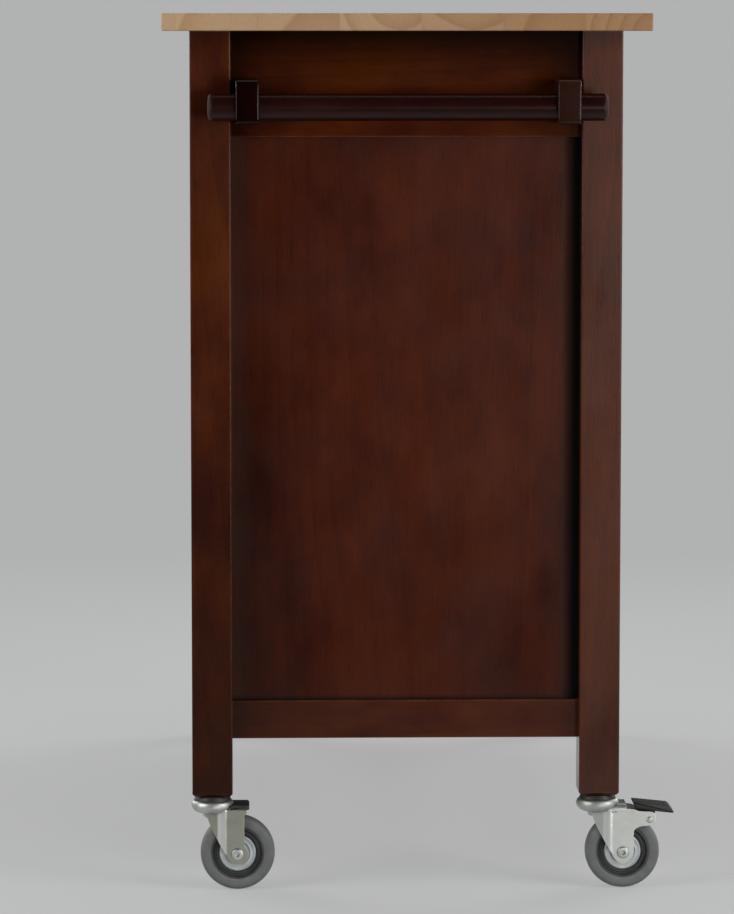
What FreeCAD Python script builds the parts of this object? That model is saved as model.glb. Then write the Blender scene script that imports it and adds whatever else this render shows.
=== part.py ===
import FreeCAD, Part
import os
import re

import Sketcher

# Kitchen cart on four swivel casters: wooden frame with panels, two drawers over two doors.
# Frame: +Z up from the floor, length along X, drawers and doors towards -Y,
# towel bar at the -X end, origin at the middle of the whole outline on the floor.

# Driving sizes in millimetres, angles in degrees

SIZES = {
    # overall
    "cart_height": 914.4,
    "worktop_length": 1067,
    "worktop_depth": 502,
    "worktop_thickness": 18,
    "worktop_overhang": 28,
    "worktop_ease": 1.6,
    # legs
    "leg_width": 42,
    "leg_ground_gap": 100.4,
    "leg_ease": 1.5,
    "leg_foot_chamfer": 3,
    # rails
    "rail_setback": 12,
    "rail_thickness": 20,
    "rail_ease": 1,
    "end_rail_height": 109,
    "lower_rail_height": 40,
    "lower_rail_ground_gap": 160.4,
    "top_rail_height": 20,
    "middle_rail_height": 20,
    "stile_width": 42,
    # panels
    "panel_setback": 4,
    "panel_thickness": 12,
    "panel_tongue": 6,
    "groove_clearance": 0.2,
    # cabinet floor and shelf
    "floor_thickness": 18,
    "shelf_thickness": 18,
    "shelf_ground_gap": 448.4,
    "shelf_clearance": 1.5,
    "pin_radius": 3,
    "pin_collar_radius": 5,
    "pin_reach": 12,
    "pin_hole_depth": 8,
    "pin_inset": 45,
    "fit_clearance": 0.05,
    # drawers
    "drawer_opening_height": 115,
    "drawer_gap": 2,
    "drawer_board": 12,
    "drawer_side_gap": 3,
    "drawer_side_height": 88,
    "drawer_back_gap": 22,
    "drawer_bottom_thickness": 6,
    "drawer_bottom_rise": 8,
    "drawer_ride_gap": 0.5,
    "runner_width": 30,
    "runner_height": 20,
    # doors
    "door_gap": 3,
    "door_stile_width": 55,
    "door_panel_setback": 5,
    "door_panel_thickness": 8,
    "knob_drop": 90,
    # knobs
    "knob_foot_radius": 9,
    "knob_foot_length": 4,
    "knob_neck_radius": 5.5,
    "knob_neck_length": 12,
    "knob_head_radius": 15,
    "knob_length": 27,
    "knob_round": 5,
    "knob_screw_radius": 2,
    "knob_screw_grip": 12,
    "knob_screw_head_radius": 4,
    "knob_screw_head": 2,
    # hinges
    "hinge_height": 50,
    "hinge_inset": 75,
    "leaf_thickness": 1.1,
    "leaf_depth": 15,
    "barrel_radius": 3,
    "barrel_wall_gap": 0.3,
    "barrel_joint_gap": 0.3,
    "hinge_pin_radius": 1.5,
    "hinge_stand_off": 1.2,
    # catches
    "catch_length": 42,
    "catch_height": 14,
    "catch_depth": 14,
    "catch_inset": 12,
    "strike_thickness": 1.5,
    "catch_gap": 0.4,
    # towel bar
    "bar_radius": 14,
    "bar_end_reach": 29,
    "bar_dome": 4,
    "bar_drop": 77.3,
    "block_width": 23.5,
    "block_depth": 75,
    "block_above_bar": 28.5,
    "block_below_bar": 17.3,
    "block_front_wall": 7,
    "block_leg_gap": 5.6,
    "block_round": 7,
    "block_chamfer": 3,
    "block_ease": 1.2,
    # fixings
    "screw_radius": 2.5,
    "screw_grip": 22,
    "screw_head_radius": 5,
    "screw_head": 2.5,
    "bracket_arm": 28,
    "bracket_width": 18,
    "bracket_thickness": 2.5,
    # casters
    "wheel_radius": 39,
    "tread_width": 24,
    "tread_flat": 17,
    "tyre_shoulder_radius": 36,
    "core_radius": 27.5,
    "core_rim": 2.2,
    "core_rim_width": 21,
    "core_web_width": 14,
    "hub_radius": 7,
    "hub_width": 29,
    "cover_radius": 19.2,
    "cover_thickness": 2.6,
    "cover_bevel": 1.2,
    "axle_radius": 4,
    "axle_head_radius": 6.2,
    "axle_head": 2.4,
    "axle_recess_radius": 2.2,
    "axle_recess": 1.2,
    "axle_nut_radius": 7.2,
    "axle_nut": 3.5,
    "axle_tail": 1,
    "caster_trail": 26,
    "fork_gap": 30,
    "fork_sheet": 2.2,
    "fork_end_radius": 11,
    "fork_edge_angle": 31,
    "fork_neck_front": 7.8,
    "fork_neck_rise": 36.9,
    "fork_knee_front": 1.6,
    "fork_knee_rise": 26.5,
    "fork_web_low": 45.6,
    "fork_web": 5.8,
    "plain_fork_back": 7,
    "fork_tab_reach": 3.5,
    "crown_radius": 21.8,
    "crown_top_radius": 17.4,
    "crown_top_gap": 0.6,
    "crown_shoulder": 6.4,
    "crown_band": 3,
    "crown_skirt_radius": 9.5,
    "crown_skirt_rise": 37,
    "crown_skirt_sheet": 2.9,
    "crown_floor": 5.5,
    "race_radius": 12,
    "race_depth": 7.6,
    "stem_radius": 5,
    "stem_length": 34,
    "stem_head_radius": 7.4,
    "stem_head": 3.2,
    "stem_head_gap": 0.5,
    # brake
    "ear_reach": 60,
    "ear_low": 27.8,
    "ear_high": 43.4,
    "ear_round": 5,
    "ear_notch": 8,
    "brake_web_end": 28,
    "lever_pivot_reach": 53.8,
    "lever_pivot_rise": 34.5,
    "lever_width": 25,
    "lever_root_reach": 33.3,
    "lever_root_rise": 52.9,
    "lever_heel_reach": 37.7,
    "lever_heel_rise": 43.9,
    "lever_brow_reach": 72.1,
    "lever_brow_rise": 48.9,
    "lever_reach": 77.5,
    "lever_tip_rise": 41.3,
    "lever_tip_thickness": 2,
    "lever_arm_reach": 6.8,
    "lever_arm_low": 2,
    "lever_arm_foot": 3.6,
    "cam_radius": 4,
    "cam_offset": 0.9,
    "cam_angle": 24,
    "rivet_radius": 2,
    "rivet_head_radius": 3.6,
    "rivet_head": 1.4,
    # tools
    "overrun": 2,
}

# Places that more than one piece follows, as formulas in the sizes above

CENTRE_X = "((block_depth - rail_setback - worktop_overhang) / 2)"
CENTRE_Y = "((lever_reach - worktop_overhang - leg_width / 2) / 2)"
LEG_X = "(worktop_length / 2 - worktop_overhang - leg_width / 2)"
LEG_Y = "(worktop_depth / 2 - worktop_overhang - leg_width / 2)"
INNER_X = "(worktop_length / 2 - worktop_overhang - leg_width)"
INNER_Y = "(worktop_depth / 2 - worktop_overhang - leg_width)"
END_FACE = "(worktop_length / 2 - worktop_overhang - rail_setback)"
SIDE_FACE = "(worktop_depth / 2 - worktop_overhang - rail_setback)"
LEG_TOP = "(cart_height - worktop_thickness)"
LOWER_TOP = "(lower_rail_ground_gap + lower_rail_height)"
END_RAIL_BASE = f"({LEG_TOP} - end_rail_height)"
DRAWER_TOP = f"({LEG_TOP} - top_rail_height)"
DRAWER_BASE = f"({DRAWER_TOP} - drawer_opening_height)"
BACK_RAIL_BASE = f"({DRAWER_BASE} - runner_height)"
DOOR_TOP = f"({DRAWER_BASE} - middle_rail_height)"
BAY_WIDTH = f"({INNER_X} - stile_width / 2)"
BAY_X = "(" + INNER_X + " / 2 + stile_width / 4)"
PANEL_DEPTH = "(panel_setback + panel_thickness / 2)"
GROOVE_WIDTH = "(panel_thickness + 2 * groove_clearance)"
BAR_Z = f"({LEG_TOP} - bar_drop)"
BAR_OUT = "(block_depth - block_front_wall - bar_radius)"
BLOCK_Y = f"({INNER_Y} - block_leg_gap - block_width / 2)"
BAR_LENGTH = f"(2 * ({BLOCK_Y} + block_width / 2 + bar_end_reach))"
AXLE_Z = "wheel_radius"
SCREW_Z = f"({BAR_Z} + block_above_bar - block_round - screw_head_radius)"

# The document and its sheet

doc = FreeCAD.newDocument("kitchen_cart")
sheet = doc.addObject("Spreadsheet::Sheet", "Sizes")
for row, (alias, number) in enumerate(SIZES.items(), start=1):
    sheet.set(f"A{row}", str(number))
    sheet.setAlias(f"A{row}", alias)
doc.recompute()

NODES = []


def prefixed(formula):
    """The formula with every size word pointed at the sheet."""
    return re.sub(r"[a-z_]+[a-z]", lambda w: f"Sizes.{w[0]}" if w[0] in SIZES else w[0], formula)


def bind(item, path, formula):
    item.setExpression(path, prefixed(formula))


def value(formula):
    return float(sheet.evalExpression(prefixed(formula)))


def turn(axis, angle):
    return FreeCAD.Rotation(FreeCAD.Vector(*axis), angle)


PARALLEL_SHARE = 0.99
UPRIGHT = turn((0, 0, 1), 0)
ALONG_X = turn((0, 1, 0), 90)
ALONG_Y = turn((1, 0, 0), -90)
ALONG_MINUS_Y = turn((1, 0, 0), 90)


def put(item, at, rotation=UPRIGHT):
    """Places an object by three formulas."""
    item.Placement = FreeCAD.Placement(FreeCAD.Vector(), rotation)
    for letter, formula in zip("xyz", at):
        bind(item, f"Placement.Base.{letter}", formula)


def new_body(label):
    made = doc.addObject("PartDesign::Body", label)
    made.Label = label
    return made


def block(body, name, size, at, cut=False):
    """A box in a body: its size, and the place of the middle of its base."""
    kind = "SubtractiveBox" if cut else "AdditiveBox"
    made = body.newObject(f"PartDesign::{kind}", f"{body.Name}_{name}")
    for side, formula in zip(("Length", "Width", "Height"), size):
        bind(made, side, formula)
    x, y, z = at
    put(made, (f"{x} - ({size[0]}) / 2", f"{y} - ({size[1]}) / 2", z))
    return made


def rod(body, name, radius, length, at, rotation=UPRIGHT, cut=False):
    """A cylinder in a body, from the middle of its first end."""
    kind = "SubtractiveCylinder" if cut else "AdditiveCylinder"
    made = body.newObject(f"PartDesign::{kind}", f"{body.Name}_{name}")
    bind(made, "Radius", radius)
    bind(made, "Height", length)
    put(made, at, rotation)
    return made


def origin_plane(body, role):
    return next(item for item in body.Origin.OriginFeatures if item.Role == role)


def outline(body, name, plane, corners):
    """A closed sketch of straight sides, each corner held by two formulas."""
    sketch = body.newObject("Sketcher::SketchObject", f"{body.Name}_{name}")
    sketch.AttachmentSupport = (origin_plane(body, plane), [""])
    sketch.MapMode = "FlatFace"
    points = [FreeCAD.Vector(value(x), value(y), 0) for x, y in corners]
    count = len(points)
    for index in range(count):
        sketch.addGeometry(Part.LineSegment(points[index], points[(index + 1) % count]), False)
    for index, corner in enumerate(corners):
        sketch.addConstraint(Sketcher.Constraint("Coincident", index, 2, (index + 1) % count, 1))
        for kind, axis, formula in zip(("DistanceX", "DistanceY"), (-2, -1), corner):
            if formula == "0":
                sketch.addConstraint(Sketcher.Constraint("PointOnObject", index, 1, axis))
                continue
            held = sketch.addConstraint(Sketcher.Constraint(kind, -1, 1, index, 1, value(formula)))
            bind(sketch, f"Constraints[{held}]", formula)
    return sketch


def pad(body, name, plane, corners, width):
    """An outline made solid, half its width to each side of the plane."""
    made = body.newObject("PartDesign::Pad", f"{body.Name}_{name}")
    made.Profile = outline(body, f"{name}_outline", plane, corners)
    made.SideType = "Symmetric"
    bind(made, "Length", width)
    return made


def turned(body, name, corners):
    """A profile of radius and height turned about the body's Z axis."""
    made = body.newObject("PartDesign::Revolution", f"{body.Name}_{name}")
    sketch = outline(body, f"{name}_profile", "XZ_Plane", corners)
    made.Profile = sketch
    made.ReferenceAxis = (sketch, ["V_Axis"])
    made.Angle = 360
    return made


def dress(body, kind, name, size, chosen):
    """A fillet or chamfer on the edges of the body's tip that the test chooses."""
    doc.recompute()
    base = body.Tip
    names = [f"Edge{n}" for n, edge in enumerate(base.Shape.Edges, start=1) if chosen(edge)]
    made = body.newObject(f"PartDesign::{kind}", f"{body.Name}_{name}")
    made.Base = (base, names)
    bind(made, "Radius" if kind == "Fillet" else "Size", size)
    return made


def runs_along(letter):
    """A test for straight edges along one axis."""
    def chosen(edge):
        straight = edge.Curve.TypeId == "Part::GeomLine"
        return straight and abs(getattr(edge.Curve.Direction, letter)) > PARALLEL_SHARE
    return chosen


def board(label, size, at, ease=None, along=None):
    """A board whose long edges are eased; its own origin is the middle of its base."""
    made = new_body(label)
    block(made, "board", size, ("0", "0", "0"))
    if ease:
        dress(made, "Fillet", "ease", ease, runs_along(along))
    put(made, at)
    return made


def keep(item, label=None):
    """Files a finished piece under its label, moved to the frame's origin."""
    if label:
        item.Label = label
    x, y, z = (dict(item.ExpressionEngine).get(f".Placement.Base.{c}", "0") for c in "xyz")
    item.setExpression("Placement.Base.x", f"{x} + {prefixed(CENTRE_X)}")
    item.setExpression("Placement.Base.y", f"{y} + {prefixed(CENTRE_Y)}")
    NODES.append(item)
    return item


def group(label, pieces):
    """Separate solids that share one node."""
    made = doc.addObject("Part::Compound", label)
    made.Links = pieces
    return keep(made, label)


def inward(side, face, depth):
    """Formula of a place that lies a depth inside a face on one side of the cart."""
    return f"{side} * ({face} - {depth})"


# Worktop: one slab of glued staves

worktop = board(
    "worktop",
    ("worktop_length", "worktop_depth", "worktop_thickness"),
    ("0", "0", LEG_TOP),
    "worktop_ease",
    "z",
)
dress(worktop, "Fillet", "arris", "worktop_ease",
      lambda edge: edge.BoundBox.ZLength < value("worktop_ease") / 2)
keep(worktop)


# Legs: square posts, grooved for the panels, bored for the caster stems

def make_leg(label, x_side, y_side):
    leg = new_body(label)
    height = f"({LEG_TOP} - leg_ground_gap)"
    block(leg, "post", ("leg_width", "leg_width", height), ("0", "0", "0"))
    dress(leg, "Chamfer", "foot", "leg_foot_chamfer",
          lambda edge: edge.BoundBox.ZMax < value("leg_foot_chamfer") / 2)
    dress(leg, "Fillet", "ease", "leg_ease", lambda edge: edge.BoundBox.ZLength > value("leg_width"))
    groove_depth = "(panel_tongue + groove_clearance)"
    base = f"({LOWER_TOP} - panel_tongue - groove_clearance - leg_ground_gap)"
    rise = f"(2 * panel_tongue + 2 * groove_clearance - {LOWER_TOP})"
    across = f"{x_side} * (leg_width / 2 - rail_setback - {PANEL_DEPTH})"
    face = f"{-y_side} * (leg_width / 2 - {groove_depth} / 2)"
    block(leg, "end_groove", (GROOVE_WIDTH, groove_depth, f"({END_RAIL_BASE} + {rise})"),
          (across, face, base), cut=True)
    if y_side > 0:
        across = f"{y_side} * (leg_width / 2 - rail_setback - {PANEL_DEPTH})"
        face = f"{-x_side} * (leg_width / 2 - {groove_depth} / 2)"
        block(leg, "back_groove", (groove_depth, GROOVE_WIDTH, f"({BACK_RAIL_BASE} + {rise})"),
              (face, across, base), cut=True)
    rod(leg, "stem_bore", "stem_radius + fit_clearance", "stem_length + overrun", ("0", "0", "-overrun"),
        cut=True)
    put(leg, (f"{x_side} * {LEG_X}", f"{y_side} * {LEG_Y}", "leg_ground_gap"))
    keep(leg)


CORNERS = {
    "front_left": (-1, -1),
    "front_right": (1, -1),
    "back_left": (-1, 1),
    "back_right": (1, 1),
}
for corner, (x_side, y_side) in CORNERS.items():
    make_leg(f"leg_{corner}", x_side, y_side)


# Rails: boards between the legs, grooved on the edge that holds a panel

def make_rail(label, size, at, along, groove=None, side=1):
    """groove is top or bottom, the edge that takes the panel's tongue."""
    rail = board(label, size, at, "rail_ease", along)
    if groove:
        depth = "(panel_tongue + groove_clearance)"
        z = f"{size[2]} - {depth}" if groove == "top" else "0"
        inside = f"(rail_thickness / 2 - {PANEL_DEPTH})"
        if along == "y":
            block(rail, "groove", (GROOVE_WIDTH, size[1], depth), (f"{side} * {inside}", "0", z), cut=True)
        else:
            block(rail, "groove", (size[0], GROOVE_WIDTH, depth), ("0", inside, z), cut=True)
    return rail


END_SIDES = {"left": -1, "right": 1}
for end, side in END_SIDES.items():
    middle = inward(side, END_FACE, "rail_thickness / 2")
    upper = make_rail(f"end_upper_rail_{end}", ("rail_thickness", f"2 * {INNER_Y}", "end_rail_height"),
                      (middle, "0", END_RAIL_BASE), "y", "bottom", side)
    if side < 0:
        for name, sign in (("front_hole", -1), ("back_hole", 1)):
            start = ("-rail_thickness / 2 - overrun", f"{sign} * {BLOCK_Y}",
                     f"{SCREW_Z} - {END_RAIL_BASE}")
            rod(upper, name, "screw_radius + fit_clearance", "rail_thickness + 2 * overrun", start, ALONG_X,
                cut=True)
    keep(upper)
    keep(make_rail(f"end_lower_rail_{end}", ("rail_thickness", f"2 * {INNER_Y}", "lower_rail_height"),
                   (middle, "0", "lower_rail_ground_gap"), "y", "top", side))
    panel = board(f"end_panel_{end}",
                  ("panel_thickness", f"2 * {INNER_Y} + 2 * panel_tongue",
                   f"{END_RAIL_BASE} - {LOWER_TOP} + 2 * panel_tongue"),
                  (inward(side, END_FACE, PANEL_DEPTH), "0", f"{LOWER_TOP} - panel_tongue"))
    for name, sign in (("front_pin_hole", -1), ("back_pin_hole", 1)):
        rod(panel, name, "pin_radius + fit_clearance", "pin_hole_depth",
            (f"{-side} * panel_thickness / 2", f"{sign} * ({INNER_Y} - pin_inset)",
             f"shelf_ground_gap - pin_collar_radius - {LOWER_TOP} + panel_tongue"),
            turn((0, 1, 0), side * 90), cut=True)
    keep(panel)

back_y = inward(1, SIDE_FACE, "rail_thickness / 2")
keep(make_rail("back_upper_rail", (f"2 * {INNER_X}", "rail_thickness", f"{LEG_TOP} - {BACK_RAIL_BASE}"),
               ("0", back_y, BACK_RAIL_BASE), "x", "bottom"))
keep(make_rail("back_lower_rail", (f"2 * {INNER_X}", "rail_thickness", "lower_rail_height"),
               ("0", back_y, "lower_rail_ground_gap"), "x", "top"))
keep(board("back_panel",
           (f"2 * {INNER_X} + 2 * panel_tongue", "panel_thickness",
            f"{BACK_RAIL_BASE} - {LOWER_TOP} + 2 * panel_tongue"),
           ("0", inward(1, SIDE_FACE, PANEL_DEPTH), f"{LOWER_TOP} - panel_tongue")))

front_y = inward(-1, SIDE_FACE, "rail_thickness / 2")
keep(make_rail("front_top_rail", (f"2 * {INNER_X}", "rail_thickness", "top_rail_height"),
               ("0", front_y, DRAWER_TOP), "x"))
keep(make_rail("front_bottom_rail", (f"2 * {INNER_X}", "rail_thickness", "lower_rail_height"),
               ("0", front_y, "lower_rail_ground_gap"), "x"))
keep(make_rail("centre_stile", ("stile_width", "rail_thickness", f"{DRAWER_TOP} - {LOWER_TOP}"),
               ("0", front_y, LOWER_TOP), "z"))
group("front_middle_rails", [
    make_rail(f"middle_rail_{end}", (BAY_WIDTH, "rail_thickness", "middle_rail_height"),
              (f"{side} * {BAY_X}", front_y, DOOR_TOP), "x")
    for end, side in END_SIDES.items()
])


# Cabinet floor and shelf: boards notched round the four legs

def notched_board(label, half_x, half_y, thickness, clearance, z):
    """A rectangle whose corners are cut back to the legs' inner faces."""
    inner_x = f"({INNER_X} - {clearance})"
    inner_y = f"({INNER_Y} - {clearance})"
    corners = []
    for x_side, y_side in ((1, 1), (-1, 1), (-1, -1), (1, -1)):
        steps = [(half_x, inner_y), (inner_x, inner_y), (inner_x, half_y)]
        if x_side * y_side < 0:
            steps.reverse()
        corners += [(f"{x_side} * {x}", f"{y_side} * {y}") for x, y in steps]
    made = new_body(label)
    pad(made, "board", "XY_Plane", corners, thickness)
    put(made, ("0", "0", f"{z} + {thickness} / 2"))
    keep(made)


notched_board("cabinet_floor", f"({END_FACE} - rail_thickness)", f"({SIDE_FACE} - rail_thickness)",
              "floor_thickness", "0", f"{LOWER_TOP} - floor_thickness")
notched_board("shelf", f"({END_FACE} - panel_setback - panel_thickness - shelf_clearance)",
              f"({SIDE_FACE} - rail_thickness - shelf_clearance)",
              "shelf_thickness", "shelf_clearance", "shelf_ground_gap")

pins = []
for end, side in END_SIDES.items():
    for depth, sign in (("front", -1), ("back", 1)):
        pin = new_body(f"shelf_pin_{end}_{depth}")
        rod(pin, "shank", "pin_radius", "pin_hole_depth - fit_clearance", ("0", "0", "0"))
        rod(pin, "collar", "pin_collar_radius", "pin_reach", ("0", "0", "-pin_reach"))
        wall = f"{side} * ({END_FACE} - panel_setback - panel_thickness)"
        put(pin, (wall, f"{sign} * ({INNER_Y} - pin_inset)", "shelf_ground_gap - pin_collar_radius"),
            turn((0, 1, 0), side * 90))
        pins.append(pin)
group("shelf_pins", pins)

runner_size = ("runner_width", f"2 * ({SIDE_FACE} - rail_thickness)", "runner_height")
runner_places = {
    "outer": f"{INNER_X} - runner_width / 2",
    "inner": "stile_width / 2 + runner_width / 2",
}
group("drawer_runners", [
    board(f"runner_{end}_{place}", runner_size,
          (f"{side} * ({middle})", "0", f"{DRAWER_BASE} - runner_height"), "rail_ease", "y")
    for end, side in END_SIDES.items() for place, middle in runner_places.items()
])

# Towel bar: a domed dowel through two blocks that are screwed to the end rail

bar_x = f"(-({END_FACE} + {BAR_OUT}))"
bar = new_body("towel_bar")
rod(bar, "dowel", "bar_radius", f"{BAR_LENGTH} - 2 * bar_dome", ("0", "0", f"bar_dome - {BAR_LENGTH} / 2"))
for sign in (-1, 1):
    dome = bar.newObject("PartDesign::AdditiveEllipsoid", "bar_low_dome" if sign < 0 else "bar_high_dome")
    bind(dome, "Radius1", "bar_dome")
    bind(dome, "Radius2", "bar_radius")
    bind(dome, "Radius3", "bar_radius")
    if sign > 0:
        dome.Angle1 = 0
    else:
        dome.Angle2 = 0
    put(dome, ("0", "0", f"{sign} * ({BAR_LENGTH} / 2 - bar_dome)"))
put(bar, (bar_x, "0", BAR_Z), ALONG_Y)
keep(bar)

blocks = []
fixings = []
block_middle = value("block_depth") / 2
for depth, sign in (("front", -1), ("back", 1)):
    made = new_body(f"bar_block_{depth}")
    block(made, "wood", ("block_depth", "block_width", "block_above_bar + block_below_bar"),
          ("0", "0", "-block_below_bar"))
    for kind, name, size, letter, up in (("Fillet", "brow", "block_round", "y", 1),
                                         ("Chamfer", "chin", "block_chamfer", "y", -1),
                                         ("Fillet", "ease", "block_ease", "z", 0)):
        dress(made, kind, name, size, lambda edge: runs_along(letter)(edge)
              and edge.BoundBox.XMax < -block_middle / 2 and edge.BoundBox.Center.z * up >= 0)
    rod(made, "bar_bore", "bar_radius + fit_clearance", "block_width + 2 * overrun",
        (f"block_depth / 2 - {BAR_OUT}", "-block_width / 2 - overrun", "0"), ALONG_Y, cut=True)
    screw_end = "block_depth / 2 - screw_grip - fit_clearance"
    rod(made, "screw_bore", "screw_radius + fit_clearance", "screw_grip + fit_clearance",
        (screw_end, "0", f"{SCREW_Z} - {BAR_Z}"), ALONG_X, cut=True)
    put(made, (f"-({END_FACE} + block_depth / 2)", f"{sign} * {BLOCK_Y}", BAR_Z))
    blocks.append(made)
    screw = new_body(f"bar_screw_{depth}")
    rod(screw, "shank", "screw_radius", "rail_thickness + screw_grip",
        ("0", "0", "-rail_thickness - screw_grip"))
    rod(screw, "head", "screw_head_radius", "screw_head", ("0", "0", "0"))
    put(screw, (f"-({END_FACE} - rail_thickness)", f"{sign} * {BLOCK_Y}", SCREW_Z), ALONG_X)
    fixings.append(screw)
group("towel_bar_blocks", blocks)

# Angle brackets under the worktop, on the end rails and the back rail

bracket_walls = []
for side in (-1, 1):
    end_wall = f"{side} * ({END_FACE} - rail_thickness)"
    facing = turn((0, 0, 1), 90 - side * 90)
    bracket_walls += [(end_wall, f"{sign} * {INNER_Y} / 2", facing) for sign in (-1, 1)]
    bracket_walls.append((f"{side} * {INNER_X} / 2", f"{SIDE_FACE} - rail_thickness", turn((0, 0, 1), 90)))
for number, (x, y, rotation) in enumerate(bracket_walls, start=1):
    angle = new_body(f"worktop_bracket_{number}")
    corners = [("0", "0"), ("-bracket_arm", "0"), ("-bracket_arm", "-bracket_thickness"),
               ("-bracket_thickness", "-bracket_thickness"), ("-bracket_thickness", "-bracket_arm"),
               ("0", "-bracket_arm")]
    pad(angle, "angle", "XZ_Plane", corners, "bracket_width")
    put(angle, (x, y, LEG_TOP), rotation)
    fixings.append(angle)
group("frame_fixings", fixings)


# Knobs: turned wood, held from behind by a screw through the front

def make_knob(label, at):
    knob = new_body(f"{label}_wood")
    turned(knob, "knob", [
        ("knob_screw_radius + fit_clearance", "0"),
        ("knob_foot_radius", "0"),
        ("knob_foot_radius", "knob_foot_length"),
        ("knob_neck_radius", "knob_foot_length"),
        ("knob_neck_radius", "knob_neck_length"),
        ("knob_head_radius", "knob_neck_length"),
        ("knob_head_radius", "knob_length"),
        ("0", "knob_length"),
        ("0", "knob_screw_grip"),
        ("knob_screw_radius + fit_clearance", "knob_screw_grip"),
    ])
    head = 2 * value("knob_head_radius")
    near = value("fit_clearance")
    dress(knob, "Fillet", "round", "knob_round",
          lambda edge: abs(edge.BoundBox.XLength - head) < near and edge.BoundBox.ZLength < near)
    put(knob, at, ALONG_MINUS_Y)
    screw = new_body(f"{label}_screw")
    rod(screw, "shank", "knob_screw_radius", "rail_thickness + knob_screw_grip - fit_clearance",
        ("0", "0", "-rail_thickness"))
    rod(screw, "head", "knob_screw_head_radius", "knob_screw_head",
        ("0", "0", "-rail_thickness - knob_screw_head"))
    put(screw, at, ALONG_MINUS_Y)
    group(label, [knob, screw])


def knob_hole(body, name, x, z):
    """The hole for a knob's screw through a front that stands in the rails' plane."""
    rod(body, name, "knob_screw_radius + fit_clearance", "rail_thickness + 2 * overrun",
        (x, "-rail_thickness / 2 - overrun", z), ALONG_Y, cut=True)


# Drawers: a front, a box of four boards with its bottom, and a knob

DRAWER_WIDTH = f"({BAY_WIDTH} - 2 * drawer_side_gap)"
DRAWER_FRONT_HEIGHT = "(drawer_opening_height - 2 * drawer_gap)"
BOX_Y = f"(-({SIDE_FACE} - rail_thickness))"
BOX_Z = f"({DRAWER_BASE} + drawer_ride_gap)"
DRAWER_LENGTH = f"(2 * ({SIDE_FACE} - rail_thickness) - drawer_back_gap)"
for end, side in END_SIDES.items():
    bay = f"{side} * {BAY_X}"
    front = board(f"drawer_{end}_front",
                  (f"{BAY_WIDTH} - 2 * drawer_gap", "rail_thickness", DRAWER_FRONT_HEIGHT),
                  (bay, front_y, f"{DRAWER_BASE} + drawer_gap"), "rail_ease", "x")
    knob_hole(front, "knob_hole", "0", f"{DRAWER_FRONT_HEIGHT} / 2")
    keep(front)
    inner_width = f"({DRAWER_WIDTH} - 2 * drawer_board)"
    inner_length = f"({DRAWER_LENGTH} - drawer_board)"
    side_x = f"({DRAWER_WIDTH} - drawer_board) / 2"
    boards = [
        board(f"drawer_{end}_side_{number}", ("drawer_board", DRAWER_LENGTH, "drawer_side_height"),
              (f"{bay} + {sign} * {side_x}", f"{BOX_Y} + {DRAWER_LENGTH} / 2", BOX_Z))
        for number, sign in ((1, -1), (2, 1))
    ]
    boards.append(board(
        f"drawer_{end}_back", (inner_width, "drawer_board", "drawer_side_height - drawer_bottom_rise"),
        (bay, f"{BOX_Y} + {DRAWER_LENGTH} - drawer_board / 2", f"{BOX_Z} + drawer_bottom_rise")))
    boards.append(board(
        f"drawer_{end}_bottom", (inner_width, inner_length, "drawer_bottom_thickness"),
        (bay, f"{BOX_Y} + {inner_length} / 2", f"{BOX_Z} + drawer_bottom_rise")))
    group(f"drawer_{end}_box", boards)
    make_knob(f"drawer_{end}_knob", (bay, f"-{SIDE_FACE}", f"{DRAWER_BASE} + drawer_opening_height / 2"))


# Doors: a frame of two stiles and two rails round a panel

DOOR_WIDTH = f"({BAY_WIDTH} - 2 * door_gap)"
DOOR_HEIGHT = f"({DOOR_TOP} - {LOWER_TOP} - 2 * door_gap)"
DOOR_BASE = f"({LOWER_TOP} + door_gap)"
DOOR_GROOVE = "(door_panel_thickness + 2 * groove_clearance)"
DOOR_GROOVE_Y = "(-rail_thickness / 2 + door_panel_setback + door_panel_thickness / 2)"
TONGUE = "(panel_tongue + groove_clearance)"
KNOB_Z = f"({DOOR_TOP} - door_gap - knob_drop)"


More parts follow.
